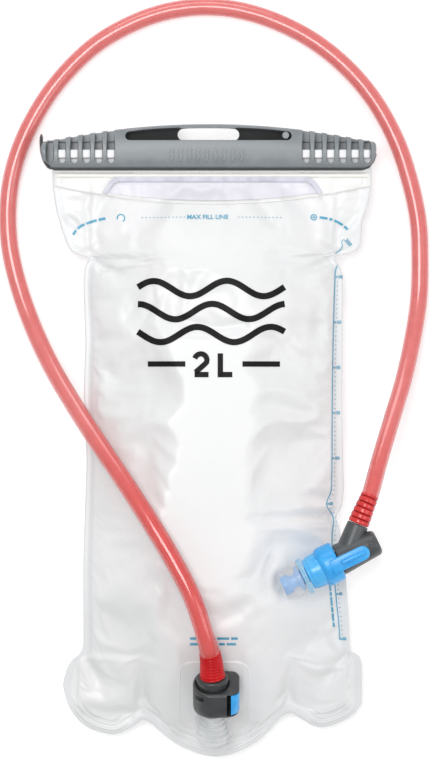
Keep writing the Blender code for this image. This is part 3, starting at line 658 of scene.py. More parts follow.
def bulge(x, y):
    """How far each film stands off the seam before it is blown up."""
    filled = between(0.068, 0.0745, eased((-0.105 - y) / 0.020))
    filled = min(half_width(x - BAG_X, y) - 0.0035, filled)
    across = max(0.0, 1 - ((x - BAG_X) / filled) ** 2) ** 0.8
    from_mouth = eased((0.148 - y) / 0.080)
    inside = min(1.0, max(0.0, (y - bottom_edge(x) - WELD) / BOTTOM_RISE))
    return BULGE * across * from_mouth * math.sin(math.pi / 2 * inside)


def row_shares():
    """How far down the bag each row lies: closer together at the notches and the ears."""
    reach = [0.0]
    for i in range(2000):
        share = (i + 0.5) / 2000
        dense = 1.0
        for middle, spread, extra in ((0.192, 0.014, 2.8), (0.648, 0.016, 1.2), (0.92, 0.035, 1.6)):
            dense += extra * math.exp(-((share - middle) / spread) ** 2)
        reach.append(reach[-1] + dense)
    return [bisect.bisect_left(reach, reach[-1] * j / ROWS * 0.99999) / 2000 for j in range(ROWS + 1)]


ROW_SHARES = row_shares()


def film_corner(across, row, side):
    """Where a corner of the film's grid lies: across is -1 to 1, rows run down the bag."""
    spread = across * (1 + 0.18 * (1 - across * across))
    share = ROW_SHARES[row]
    y = between(FILM_TOP, bottom_edge(BAG_X + spread * EAR_HALF), share)
    x = BAG_X + spread * half_width(spread, y)
    rise = SEAM_HALF + bulge(x, y)
    if side > 0:
        return Vector((x, y, seam_height(y) + rise))
    return Vector((x, y, max(FLOOR_REST, seam_height(y) - rise)))


def film_shape():
    """Both films as one closed shape, joined by a narrow strip round the seam."""
    shape = bmesh.new()
    grids = []
    for side in (1, -1):
        grids.append([[shape.verts.new(film_corner(2 * i / COLUMNS - 1, j, side))
                       for i in range(COLUMNS + 1)] for j in range(ROWS + 1)])
    for grid, turn in zip(grids, (1, -1)):
        for j in range(ROWS):
            for i in range(COLUMNS):
                corners = (grid[j + 1][i], grid[j + 1][i + 1], grid[j][i + 1], grid[j][i])
                shape.faces.new(corners[::turn])
    ring_faces(shape, rim_of(grids[1]), rim_of(grids[0]))
    bmesh.ops.recalc_face_normals(shape, faces=shape.faces)
    return shape


def seam_distance(x, y):
    """How far inside the film's outline a point is."""
    side_gap = half_width(x - BAG_X, y) - abs(x - BAG_X)
    return min(side_gap, y - bottom_edge(x), FILM_TOP - 0.010 - y)


def blow_up(film):
    """Let the film swell and pucker between its welds, by a short cloth simulation."""
    pinned = film.vertex_groups.new(name="pinned")
    for vertex in film.data.vertices:
        weight = 1.0 - eased((seam_distance(vertex.co.x, vertex.co.y) - 0.0045) / 0.004)
        if vertex.co.z < FLOOR_REST * 3:
            weight = 1.0
        if weight > 0:
            pinned.add([vertex.index], weight, "REPLACE")
    cloth = film.modifiers.new("pressure", "CLOTH")
    for setting, value in dict(
            quality=5, mass=0.10, tension_stiffness=25, compression_stiffness=25, shear_stiffness=12,
            bending_stiffness=0.12, use_pressure=True, uniform_pressure_force=2.0, shrink_min=-0.035,
            vertex_group_mass="pinned").items():
        setattr(cloth.settings, setting, value)
    cloth.settings.effector_weights.gravity = 0
    for step in range(1, SWELL_STEPS + 1):
        SCENE.frame_set(step)
    swollen = film.evaluated_get(bpy.context.evaluated_depsgraph_get()).to_mesh()
    moved = [vertex.co.copy() for vertex in swollen.vertices]
    film.modifiers.remove(cloth)
    film.vertex_groups.clear()
    SCENE.frame_set(1)
    for vertex, goal in zip(film.data.vertices, moved):
        shift = goal - vertex.co
        if shift.length > SWELL_CAP:
            shift *= SWELL_CAP / shift.length
        vertex.co += shift


def crease_depth(x, y):
    """Folds that run in from the notches and ears, with a raised shoulder on both sides."""
    total = 0.0
    for (x0, y0), (x1, y1), width, depth in CREASES:
        run = Vector((x1 - x0, y1 - y0))
        off = Vector((x - x0, y - y0))
        along = off.dot(run) / run.length_squared
        if -0.15 < along < 1.1:
            across = (off.x * run.y - off.y * run.x) / run.length / (width * (0.7 + 1.1 * max(0, along)))
            fade = eased((1.1 - along) / 0.8) * eased((along + 0.15) / 0.2)
            total += depth * fade * (1 - 0.9 * across * across) * math.exp(-across * across)
    return total


def under_connector(x, y):
    """The most a point of the film may rise, below the path the connector takes when it is pulled off."""
    beside = max(0.0, abs(x - BAG_X) - 0.0165)
    beyond = max(0.0, y + 0.102)
    before = max(0.0, -0.1400 - y)
    return 0.0197 + 0.4663 * (y + 0.1572) + 1.2 * beside + 1.5 * beyond + 1.5 * before


def under_valve(x, y):
    """The most a point of the film may rise below the bite valve."""
    off = Vector((x - VALVE_CENTRE.x, y - VALVE_CENTRE.y))
    along, across = off.dot(VALVE_Z.xy), off.dot(VALVE_OUT.xy)
    reach = 0.0108 + 0.0012 * eased((along + 0.0120) / 0.0030)
    if MOUTH - 0.0020 < along < 0.0020 and abs(across) < reach:
        return VALVE_CENTRE.z - math.sqrt(reach * reach - across * across)
    return VALVE_CENTRE.z


def crumple(film):
    """Creases and a faint unevenness on the front, always clear of the tube above and the floor."""
    line = TUBE.spaced(0.001)
    tree = KDTree(len(line))
    for i, point in enumerate(line):
        tree.insert((point.x, point.y, 0), i)
    tree.balance()
    clear = TUBE_RADIUS + 2 * GAP
    for vertex in film.data.vertices:
        co = vertex.co
        inside = eased((seam_distance(co.x, co.y) - 0.001) / 0.008)
        if vertex.normal.z > 0:
            uneven = noise.noise(Vector((co.x / 0.018, co.y / 0.055, 1.7))) * 0.0009
            uneven += noise.noise(Vector((co.x / 0.009, co.y / 0.014, 5.1))) * 0.00035
            co.z += (uneven - crease_depth(co.x, co.y)) * inside
            port = math.hypot(co.x - BAG_X, co.y + 0.151)
            co.z += 0.0012 * eased((0.013 - port) / 0.008)
        _, i, gap = tree.find((co.x, co.y, 0))
        if gap < clear and line[i].z > SEAM_Z:
            co.z = min(co.z, line[i].z - math.sqrt(clear ** 2 - gap ** 2))
        if vertex.normal.z > 0:
            co.z = min(co.z, under_connector(co.x, co.y), under_valve(co.x, co.y))
        co.z = max(co.z, FLOOR_REST)


def make_film():
    mesh = mesh_of("bag_film", film_shape())
    film = placed("bag_film", mesh)
    blow_up(film)
    crumple(film)
    finer = film.modifiers.new("finer", "SUBSURF")
    finer.levels = finer.render_levels = 1
    mesh.shade_smooth()
    mesh.materials.append(FILM)
    mesh.materials.append(MARGIN_FILM)
    for face in mesh.polygons:
        face.material_index = int(seam_distance(face.center.x, face.center.y) < MARGIN)
    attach(film, "bladder")
    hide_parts("bag_front_panel", "bag_back_panel")
    return film


ON_FILM = surface_of(make_film())

# ---------------------------------------------------------------- mouth band, grip panel, port patch, welds
BAND_HALF = 0.0868
BAND_TOP = 0.1478
CREAM_LOW = 0.1449                  # lower edge of the cream strip along the band's top


def band_low(x):
    """The curved lower edge of the mouth band."""
    return 0.1302 + 0.0100 * ((x - BAG_X) / 0.0870) ** 2


def sheet(name, columns, rows, corner, surface, height, look, slot, *replaced, lift=0.0001):
    """A sheet on a surface: corner gives x, y for u from -1 to 1 and v from 0 to 1, over columns and rows.

    The height is a function of the column and row, or a thickness that is less round the rim.
    """
    def rimmed(i, j):
        return height * (0.35 if i in (0, columns) or j in (0, rows) else 1.0)
    grid = [[corner(2 * i / columns - 1, j / rows) for i in range(columns + 1)] for j in range(rows + 1)]
    shape = bmesh.new()
    lay(shape, grid, surface, lift, height if callable(height) else rimmed)
    return new_piece(name, shape, look, "bladder", slot, *replaced, sharp=60)


def mouth_pieces():
    def band_corner(u, v):
        x = BAG_X + u * BAND_HALF
        return x, between(band_low(x), BAND_TOP, v)
    on_band = surface_of(sheet("mouth_band_sheet", 110, 14, band_corner, ON_FILM, 0.0009, BAND_FILM,
                               "band_film", "mouth_band", lift=0.00015))

    def strip_corner(u, v):
        return BAG_X + u * (BAND_HALF - 0.001), between(CREAM_LOW, 0.1472, v)
    sheet("mouth_top_strip", 90, 3, strip_corner, on_band, 0.0007, CREAM_FILM, "band_film")
    columns, rows = 90, 12

    def grip_corner(u, v):
        x = BAG_X + u * between(0.0588, 0.0540, eased(v))
        return x, between(band_low(x) + 0.0020, 0.1438 - 0.0012 * abs(u) ** 12, v)
    sheet("grip_panel_sheet", columns, rows, grip_corner, on_band,
          lambda i, j: 0.0011 * eased(0.15 + min(i, columns - i, rows - j) / 4),
          GRIP_FILM, "grip_film", "mouth_grip_panel")
    half = ((0.0595, band_low(0.060) + 0.0016), *mm((56.8, 140.2), (55, 142.5), (51.8, 143.8), (45, 144.1)))
    path = smooth_curve([(BAG_X - x, y) for x, y in half] + [(BAG_X + x, y) for x, y in half[::-1]], 8)
    rim = stroke(bmesh.new(), path, 0.0026, on_band, 0.0001, 0.0014)
    # The raised rim is real; its darker colour is painted shade on the panel's edge
    new_piece("grip_panel_rim", rim, GRIP_RIM_SHADE, "bladder", "grip_film", sharp=60)

    for name, x, inward in (("left", -0.0806, 0.001), ("right", 0.0844, -0.001)):
        line = [(x, band_low(x) + 0.001), (x, CREAM_LOW - 0.0002), (x + inward, CREAM_LOW + 0.0004)]
        bead(f"mouth_weld_{name}", line, on_band, 0.00035)


def faded(radius, count, reach, least):
    """Radii along a bead that thins towards both of its ends."""
    return [radius * between(least, 1, eased(min(i, count - 1 - i) / reach)) for i in range(count)]


def bead(name, line, surface, radius, flat=0.7):
    """A weld bead that follows a surface, fading out at its ends."""
    points = [Vector((p.x, p.y, surface(p.x, p.y))) for p in flat_line(line, 0.0011)]
    shape = sweep(points, faded(radius, len(points), 3, 0.25), 10, flat)
    new_piece(name, shape, WELD_FILM, "bladder", "film", sharp=70)


def bottom_line(start, end, inset):
    """A line inside the bottom edge, between two x positions."""
    points = []
    for before, here, after in zip(BOTTOM_EDGE, BOTTOM_EDGE[1:], BOTTOM_EDGE[2:]):
        if start <= here.x <= end:
            ahead = (after - before).normalized()
            points.append(here + Vector((-ahead.y, ahead.x, 0)) * inset)
    return points


def weld_ridges():
    """Ridges pressed into the film side by side along each bottom lobe."""
    for name, start, end, first in (
            ("left", -0.0775, -0.0430, 0.0028), ("middle_left", -0.0260, 0.0020, 0.0030),
            ("middle_right", 0.0080, 0.0340, 0.0030), ("right", 0.0530, 0.0835, 0.0028)):
        for k in range(3):
            line = bottom_line(start, end, first + 0.0028 * k)
            bead(f"weld_ridge_{name}_{k + 1}", line, ON_FILM, 0.0009, flat=0.6)


PATCH_X, PATCH_HALF_X = 0.0032, 0.0187
PATCH_Y, PATCH_HALF_Y = -0.1394, 0.0192
PATCH_CORNER = 0.0060


def patch_reach(y):
    """The patch's half width, narrower round its corners."""
    over = max(0.0, abs(y - PATCH_Y) - (PATCH_HALF_Y - PATCH_CORNER))
    return PATCH_HALF_X - PATCH_CORNER + math.sqrt(max(0.0, PATCH_CORNER ** 2 - over ** 2))


def patch_pieces():
    def corner(u, v):
        y = PATCH_Y + PATCH_HALF_Y * math.sin(math.pi / 2 * (2 * v - 1)) * 0.999
        return PATCH_X + u * patch_reach(y), y
    sheet("port_patch_sheet", 24, 28, corner, ON_FILM, 0.0005, FILM, "port", "port_patch")
    left = [(PATCH_X - patch_reach(y), y)
            for y in (PATCH_Y + PATCH_HALF_Y * math.cos(math.pi * i / 60) for i in range(61))]
    outline = left[::-1] + [(2 * PATCH_X - x, y) for x, y in left[1:]]
    bead("port_patch_weld", outline, ON_FILM, 0.00055)


mouth_pieces()
weld_ridges()
patch_pieces()

# ---------------------------------------------------------------- print on the film
LABEL_TOP, LABEL_STEP = 0.0904, 0.0249       # the 1800 mark, and the way to the next one
FILL_Y = 0.1229
TEXT_THICK = 0.00018
SCALE_LINE = smooth_curve(mm(
    (71.2, 97.2), (69.8, 94), (69.5, 88), (68.9, 70), (68.2, 40), (67.8, -13), (67.4, -26.7), (64.8, -34.5),
    (68.7, -42.1), (67.9, -54.2), (69.6, -79), (71.8, -101), (72.3, -109.2)), 8)


def text_shape(text, x, y, size, surface, narrow=1.0, turn=0.0):
    """Print from the built-in font, made narrower if asked and laid on a surface."""
    curve = bpy.data.curves.new("text", "FONT")
    curve.body = text
    curve.size = size
    curve.align_x = "LEFT"
    curve.align_y = "CENTER"
    curve.resolution_u = 3
    curve.offset = 0.02 * size
    curve.extrude = TEXT_THICK / 2
    holder = placed("text", curve)
    bpy.context.view_layer.update()
    solid = bpy.data.meshes.new_from_object(holder.evaluated_get(bpy.context.evaluated_depsgraph_get()))
    shape = bmesh.new()
    shape.from_mesh(solid)
    bpy.data.objects.remove(holder)
    bpy.data.curves.remove(curve)
    bpy.data.meshes.remove(solid)
    bmesh.ops.remove_doubles(shape, verts=shape.verts, dist=0.000005)
    shape.transform(Matrix.Translation((x, y, 0)) @ Matrix.Rotation(turn, 4, "Z")
                    @ Matrix.Diagonal((narrow, 1, 1, 1)))
    for vertex in shape.verts:
        vertex.co.z += surface(vertex.co.x, vertex.co.y) + 0.00012 + TEXT_THICK / 2
    return shape


def printed(name, shape, look):
    return new_piece(name, shape, look, "bladder", "film", sharp=60)


def dashes(shape, line, lengths, width, gap=0.0011):
    """A row of short dashes along a line, in the place of small words."""
    line = Line(line)
    reach = 0.0
    for length in mm(*lengths):
        if reach + length > line.length:
            break
        points = [line.at(reach + length * i / 4) for i in range(5)]
        stroke(shape, points, width, ON_FILM, step=0.0009)
        reach += length + gap


def scale_print():
    line = stroke(bmesh.new(), SCALE_LINE, 0.00055, ON_FILM)
    stroke(line, [(0.0723, -0.1090), (0.0757, -0.1090)], 0.00055, ON_FILM)
    stations = [(point.y, point.x) for point in SCALE_LINE]
    marks = []
    for i in range(81):
        y = LABEL_TOP - LABEL_STEP * i / 10
        x = edge_at(stations, y)
        if i % 10:
            stroke(line, [(x + 0.0011, y), (x + 0.0019, y)], 0.00035, ON_FILM, step=0.0008)
        else:
            mark = stroke(bmesh.new(), [(x + 0.0005, y), (x + 0.0014, y)], 0.0009, ON_FILM, step=0.0009)
            marks += [mark, text_shape(str(1800 - 20 * i), x + 0.0016, y, 0.0026, ON_FILM, 0.52)]
    printed("scale_line", line, PRINT_BLUE)
    marks.append(text_shape("2000", 0.0754, 0.1110, 0.0030, ON_FILM, 0.75, math.radians(-50)))
    bend = smooth_curve(mm((74.7, 111), (73.1, 110.2), (73.6, 107.4), (72.5, 105.3), (69.7, 103.3)), 6)
    marks.append(stroke(bmesh.new(), bend, 0.00045, ON_FILM))
    printed("scale_numbers", joined(*marks), PRINT_BLUE)


def fill_print():
    """The fill line's name and dots, and rows of dashes where small words would be."""
    shape = bmesh.new()
    for i in range(12):
        for first in (-0.0366, 0.0162):
            x = first + i * 0.0021
            stroke(shape, [(x, FILL_Y), (x + 0.0007, FILL_Y)], 0.0004, ON_FILM, step=0.0007)
    left = smooth_curve(mm((-74.4, 113.6), (-72, 117), (-68, 119.4), (-60.5, 121.8), (-52.2, 123.1)), 8)
    dashes(shape, left, (3, 4.6, 6, 3.8), 0.0013)
    right = smooth_curve(mm((61, 123.1), (68, 121.8), (74, 118.8), (78, 114.9)), 8)
    dashes(shape, right, (4.4, 1.8, 5.2, 2.6), 0.0013)
    for level, lengths in ((-0.1069, (3.2, 5, 3.4, 6.4, 3.6)), (-0.1101, (4.4, 3, 5.2, 3, 5))):
        dashes(shape, [Vector((-0.0100, level, 0)), Vector((0.0166, level, 0))], lengths, 0.0013)
    beside_scale = [Vector((0.0667, -0.0780, 0)), Vector((0.0697, -0.1085, 0))]
    dashes(shape, beside_scale, (4, 2.2, 5, 3, 4.4, 2.6), 0.0011, 0.0006)
    for points in (arc(-0.0480, 0.1226, 0.0021, 200, -60), arc(0.0578, 0.1231, 0.0015, 0, 360, 20)):
        stroke(shape, points, 0.0006, ON_FILM, step=0.0008)
    stroke(shape, [(0.0571, 0.1231), (0.0585, 0.1231)], 0.0008, ON_FILM, step=0.0007)
    word = text_shape("MAX FILL LINE", -0.0118, FILL_Y, 0.0033, ON_FILM, 1.07)
    printed("fill_marks", joined(shape, word), PRINT_BLUE)


def emblem():
    """Three bold waves over a bar and the bag's volume, in black."""
    shape = bmesh.new()
    for row in range(3):
        xs = [-0.0385 + 0.0800 * i / 48 for i in range(49)]
        waves = [math.sin(2 * math.pi * (x + 0.008 * row) / 0.0400) for x in xs]
        points = [(x, 0.0835 - 0.0125 * row + 0.0042 * wave) for x, wave in zip(xs, waves)]
        stroke(shape, points, 0.0034, ON_FILM)
    level, tall, heavy, left = 0.0425, 0.0115, 0.0029, -0.0075
    low, high = level - tall / 2, level + tall / 2
    for points in (
            [(-0.0330, level), (-0.0125, level)],
            [(0.0185, level), (0.0390, level)],
            [*arc(left + 0.0034, high - 0.0036, 0.0034, 165, -25, 10), (left + 0.0005, low + 0.0012)],
            [(left, low), (left + 0.0076, low)],
            [(left + 0.0140, high), (left + 0.0140, low - heavy / 2)],
            [(left + 0.0140, low), (left + 0.0205, low)]):
        stroke(shape, points, heavy, ON_FILM)
    printed("wave_emblem", shape, PRINT_BLACK)


scale_print()
fill_print()
emblem()


# ---------------------------------------------------------------- slide clip
def arch(x):
    return CLIP_TOP - CLIP_ARCH * (x / 0.090) ** 2


def quarter(radius, over):
    """How far a rounded corner has fallen back, over mm into its radius."""
    over = min(max(over, 0.0), radius)
    return radius - math.sqrt(radius * radius - over * over)


def clip_section(x):
    """(y, z) once round the clip at x: a crowned front, rounded edges and a flat back."""
    end = quarter(0.0012, abs(x) - CLIP_HALF + 0.0012)
    low = CLIP_BOTTOM + quarter(CLIP_CORNER, abs(x) - CLIP_HALF + CLIP_CORNER) + end
    high = arch(x) - quarter(0.0015, abs(x) - CLIP_HALF + 0.0015) - end * 0.5
    front, rear = SEAM_Z + CLIP_DEPTH / 2 - end, SEAM_Z - CLIP_DEPTH / 2 + end
    tall = high - low
    turn = min(1.0, tall / 0.015)
    lower_edge = [(low + up * turn, front - back) for up, back in mm((0, 4.4), (0.3, 3), (1, 1.8))]
    crown = [(low + tall * share, front - drop) for share, drop in (
        (0.12, 0.0010), (0.24, 0.0005), (0.42, 0.0001), (0.58, 0.0), (0.76, 0.0005), (0.88, 0.0010))]
    upper_edge = [(high - 0.0006 * turn, front - 0.0015), (high, front - 0.0028)]
    corner = mm((0, 1.4), (0.5, 0.4), (1.5, 0))
    back = [(high - down * turn, rear + up) for down, up in corner]
    back += [(low + up * turn, rear + rise) for up, rise in corner[::-1]]
    return lower_edge + crown + upper_edge + back


def clip_blank():
    """The clip before it is cut: its section lofted from end to end."""
    ends = [CLIP_HALF - step for step in mm(0, 0.2, 0.6, 1.2, 2, 3.2, 4.8, 6.4, 7.8)]
    inner = [0.0843 * (1 - i / 12) for i in range(1, 13)]
    stations = [-x for x in ends + inner] + inner[-2::-1] + ends[::-1]
    return loft([(x, y, z) for y, z in clip_section(x)] for x in stations)


def recess_outline(half, grow=0.0):
    """The hang slot: flat below, following the arched edge above, with half-round ends."""
    low = RECESS_BOTTOM - grow
    half += grow
    radius = (arch(half) - RIM + grow - low) / 2
    middle = half - radius
    right = arc(middle, low + radius, radius, -90, 90)
    top = [(middle * (1 - i / 6), arch(middle * (1 - i / 6)) - RIM + grow) for i in range(1, 12)]
    return right + top + [(-x, y) for x, y in right[::-1]]


def slot_outline(x, grow=0.0):
    """An end slot: open above, half-round below."""
    half = SLOT_WIDTH / 2 + grow
    foot = arc(x, SLOT_BOTTOM - grow + half, half, 180, 360, 10)
    return foot + [(x + half, CLIP_TOP + 0.01 + grow), (x - half, CLIP_TOP + 0.01 + grow)]


def make_clip():
    front, floor = SEAM_Z + CLIP_DEPTH / 2, SEAM_Z - CLIP_DEPTH / 2 + REAR_WALL
    beyond = 0.01                   # how far a cutter runs past the clip
    neck, crown, flare = front - 0.0012, front + 0.0028, 0.0020
    slots = [flared(lambda grow: slot_outline(side * (SLOT_FIRST + i * SLOT_PITCH), grow),
                    SEAM_Z - CHANNEL_HALF, neck, crown, flare) for side in (-1, 1) for i in range(SLOTS)]
    channel, slit = (
        rounded_box((-CLIP_HALF + CLIP_STOP, low, SEAM_Z - half), (CLIP_HALF + beyond, high, SEAM_Z + half))
        for low, high, half in ((*CHANNEL_Y, CHANNEL_HALF),
                                (CLIP_BOTTOM - beyond, CHANNEL_Y[0] + 0.001, SLIT_HALF)))
    recess = flared(lambda grow: recess_outline(RECESS_HALF, grow), floor, neck, crown, flare * 0.6)
    hole = prism(recess_outline(HANG_HOLE_HALF, -0.0001), -0.01, front + beyond)
    shape = carved(clip_blank(), channel, slit, recess, hole, joined(*slots))
    clip = new_piece("slide_clip_body", shape, CLIP_GREY, "clip", "clip", "slide_clip", sharp=28)

    on_clip = surface_of(clip)
    grip = bmesh.new()
    for i in range(9):
        x = -0.0208 + i * 0.0048
        points = [(x + 0.0016 * t + 0.0006 * math.sin(2 * math.pi * t), 0.1540 + 0.0068 * t)
                  for t in (k / 8 for k in range(9))]
        stroke(grip, points, 0.0015, on_clip, 0.0, 0.0006, 0.0008)
    new_piece("clip_grip_waves", grip, CLIP_GREY, "clip", "clip", sharp=40)

    for name, left, right in (("left", -0.0888, -0.0512), ("right", 0.0512, 0.0888)):
        rib = rounded_box((left, 0.1648, 0.0178), (right, 0.1656, 0.0215), 0.0002)
        new_piece(f"clip_slot_rib_{name}", rib, CLIP_GREY, "clip", "clip")
    # A near-black plate on the recess floor is painted shade inside the hang slot
    recess_shade_plate = prism(recess_outline(RECESS_HALF, -0.0001), floor + 0.0001, floor + 0.0004)
    hole = prism(recess_outline(HANG_HOLE_HALF, 0.0001), 0, front)
    new_piece("clip_recess_painted_shade", carved(recess_shade_plate, hole), RECESS_PAINTED_SHADE, "clip", "clip")

    # A dark strip along the clip's lower edge is painted shade, where the rounded underside falls into shadow
    shade_line = mm((-87, 150.5), (-84, 149.7), (84, 149.7), (87.6, 150.8), (90.5, 154), (91.7, 158))
    shade_strip = flat_line(shade_line, 0.0012)
    shade_strip = [point + Vector((0, 0, SEAM_Z + 0.0022)) for point in shade_strip]
    tab = smooth_curve(mm((-91.8, 168.8), (-91.9, 164), (-91.5, 159), (-90.2, 154.5), (-88.2, 151.4),
                          (-86.6, 149.9)), 6)
    tab = [point + Vector((0, 0, SEAM_Z)) for point in flat_line(tab, 0.0008)]
    for name, shape in (("clip_lower_painted_shade", sweep(shade_strip, [0.0008] * len(shade_strip), 12)),
                        ("clip_end_tab", sweep(tab, faded(0.0010, len(tab), 2, 0.5), 20, 5.0))):
        new_piece(name, shape, TAB_GREY_AND_LIP_SHADE, "clip", "clip", sharp=50)


make_clip()


# ---------------------------------------------------------------- port and connector
def port_pieces():
    neck = [(0, SPIGOT_END), (0.0040, SPIGOT_END), (0.0040, NECK_LENGTH + 0.0004)]
    pitch = NECK_LENGTH / NECK_RIBS
    for i in range(NECK_RIBS):
        radius = between(NECK_SLIM, NECK_WIDE, i / (NECK_RIBS - 1))
        top = NECK_LENGTH - i * pitch
        neck += [(radius, top), (radius, top - 0.0013), (radius - 0.0010, top - 0.0017),
                 (radius - 0.0010, top - pitch + 0.0004)]
    neck += [(NECK_WIDE - 0.0006, -0.0012), (NECK_WIDE - 0.0030, -0.0022), (0, -0.0024)]
    neck = lathe(soften(neck, 0.00035, steps=3), PORT_AXIS)
    inward = PORT_AXIS @ axes((0, 0, FOOT_STATION), (1, 0, 0), (0, 0, -1), (0, 1, 0))
    foot = lathe([(0, 0.0010), (0.0050, 0.0010), (0.0060, PORT_HEIGHT), (0, PORT_HEIGHT)], inward, 48)
    bore = lathe([(0, 0.0262), (0.0026, 0.0262), (0.0026, 0.0045), (0, 0.0045)], PORT_AXIS, 32)
    new_piece("port_neck_ribbed", carved(neck, bore, added=[foot]), CLEAR, "bladder", "port", "port_neck")
    level = PORT_HEIGHT - 0.0030
    disc = [(0, level), (0.0096, level + 0.0006), (0.0102, level + 0.0016), (0, level + 0.0024)]
    turned("port_flange_disc", disc, 0.0005, inward, CLEAR, "bladder", "port", "port_flange")


HOUSING_X, HOUSING_FRONT, HOUSING_REAR = 0.0147, -0.0102, 0.0092
TOP_SLANT = 0.26                    # the connector's top face leans back


def connector_outline(shrink=0.0):
    """The connector across its axis: round on the left, with a soft-cornered housing on the right."""
    points = arc(0, 0, BODY_RADIUS - shrink, 110, 270, 24)
    for y, radius, first in ((HOUSING_FRONT, 0.0062, 270), (HOUSING_REAR, 0.0040, 0)):
        side = y - math.copysign(shrink + radius, y)
        points += arc(HOUSING_X - shrink - radius, side, radius, first, first + 90, 8)
    return points


def housing(levels):
    """A solid with the connector's outline: (station, shrink, slant) rings from the top down."""
    return loft([PORT_AXIS @ Vector((x, y, level + slant * y)) for x, y in connector_outline(shrink)]
                for level, shrink, slant in levels)


def connector_pieces():
    top = BODY_END
    body = housing([(top - down, shrink, TOP_SLANT) for down, shrink in mm((0, 0.9), (0.3, 0.3), (0.9, 0))]
                   + [(0.0215, 0.0, 0), (0.0192, 0.0002, 0), (0.0178, 0.0008, 0), (0.0170, 0.0020, 0)])
    pocket = rounded_box((0.0078, -0.0130, 0.0186), (0.020, 0.0042, 0.0316), 0, PORT_AXIS)
    slot = rounded_box((-0.0130, -0.0100, 0.0272), (-0.0048, -0.0052, 0.0298), 0.0004, PORT_AXIS)
    socket = lathe([(0, 0.0254), (0.0047, 0.0254), (0.0047, 0.005), (0, 0.005)], PORT_AXIS, 48)
    outer, inner, high, low = COLLAR_RADIUS + 0.0006, COLLAR_RADIUS - 0.0014, top + 0.006, top - 0.0022
    groove = lathe([(outer, high), (outer, low), (inner, low), (inner, high)], PORT_AXIS, closed=True)
    new_piece("connector_shell", carved(body, pocket, slot, socket, groove), DARK_GREY, "drinking_line",
              "connector", "connector_body", sharp=30)
    top, foot = COLLAR_END, BODY_END - 0.0018
    nut = [(COLLAR_RADIUS - 0.0005, top), (COLLAR_RADIUS + 0.0002, top - 0.0012),
           (COLLAR_RADIUS - 0.0006, foot), (0.0052, foot), (0.0052, top)]
    turned("connector_tube_nut", nut, 0.0009, PORT_AXIS, DARK_GREY, "drinking_line", "connector",
           "connector_collar", closed=True)
    whole = housing((level, shrink, 0) for level, shrink in mm(
        (31.2, 0.8), (30.9, 0.2), (30.3, 0), (20.1, 0), (19.5, 0.2), (19.2, 0.8)))
    block = rounded_box((0.0101, -0.0130, 0.0180), (0.020, 0.0038, 0.0330), 0, PORT_AXIS)
    relief = rounded_box((0.0090, -0.0018, 0.0258), (0.0124, 0.0018, 0.0298), 0, PORT_AXIS)
    new_piece("connector_button_cap", carved(whole, relief, within=[block]), BLUE, "button", "blue",
              "connector_button", sharp=40)


port_pieces()
connector_pieces()


# ---------------------------------------------------------------- bite valve
def elbow_pieces():
    body = [(0, ELBOW_END), (0.0058, ELBOW_END), (0.0072, ELBOW_END - 0.0016), (0.0074, ELBOW_END - 0.0050),
            (0.0087, 0.0022), (0.0087, GAP), (0.0045, GAP), (0.0045, -0.0125), (0, -0.0125)]
    body = lathe(soften(body, 0.0010), VALVE_AXIS)
    branch = [(0, BRANCH_LENGTH), (BRANCH_RADIUS - 0.0004, BRANCH_LENGTH),
              (BRANCH_RADIUS, BRANCH_LENGTH - 0.0005), (BRANCH_RADIUS + 0.0004, 0.0060),
              (BRANCH_RADIUS, 0.0016), (0, 0.0016)]
    shape = carved(body, added=[lathe(soften(branch, 0.0004), BRANCH_AXIS)])
    elbow = new_piece(
        "valve_elbow_shell", shape, ELBOW_GREY, "drinking_line", "elbow", "valve_elbow", sharp=32)
    upward = VALVE_AXIS @ axes((0, -0.0006, 0.0202), (0, 0, -1), (0, 1, 0), (1, 0, 0))
    ring = mm((0, 6.2), (1.9, 6.2), (1.9, 8.2), (1.3, 8.2), (1.2, 7.7), (0.6, 7.7), (0.5, 8), (0, 8))
    boss = turned("elbow_boss_ring", ring, 0.0002, upward, ELBOW_GREY, "drinking_line", "elbow", "elbow_boss",
                  sides=40)
    return [elbow, boss]


def collar_piece():
    """The twist collar with a wavy front edge, and the arm with its ridge."""
    profile = [(0.0100, COLLAR_FRONT), (0.0056, COLLAR_FRONT), (0.0056, 0), (0.0104, 0), (0.0111, -0.0010),
               (0.0111, COLLAR_FRONT + 0.0022)]

    def wave(angle, station):
        return 0.0006 * math.sin(2 * angle + 0.8) * eased((-0.004 - station) / 0.004)
    ring = lathe(soften(profile, 0.0007, True), VALVE_AXIS, 72, True, wave)
    low, high, tip = -0.0023, 0.0056, 0.0174
    radius = (high - low) / 2
    outline = [(-0.0050, low), (-0.0050, high), *arc(tip - radius, (low + high) / 2, radius, 90, -90, 14)]
    arm = prism(outline, 0.0092, 0.0114, VALVE_AXIS @ axes((0, 0, 0), (0, 0, 1), (0, 1, 0), (1, 0, 0)))
    flat = [edge for edge in arm.edges if len(edge.link_faces) == 2 and edge.calc_face_angle() > 1.2]
    bmesh.ops.bevel(arm, geom=flat, offset=0.0006, segments=2, affect="EDGES", profile=0.5)
    ridge = rounded_box((0.0106, 0.0003, 0.0010), (0.0129, 0.0029, 0.0152), 0.0009, VALVE_AXIS)
    return new_piece("valve_collar_arm", carved(ring, added=[arm, ridge]), BLUE, "bite_valve", "blue",
                     "valve_twist_collar", sharp=40)


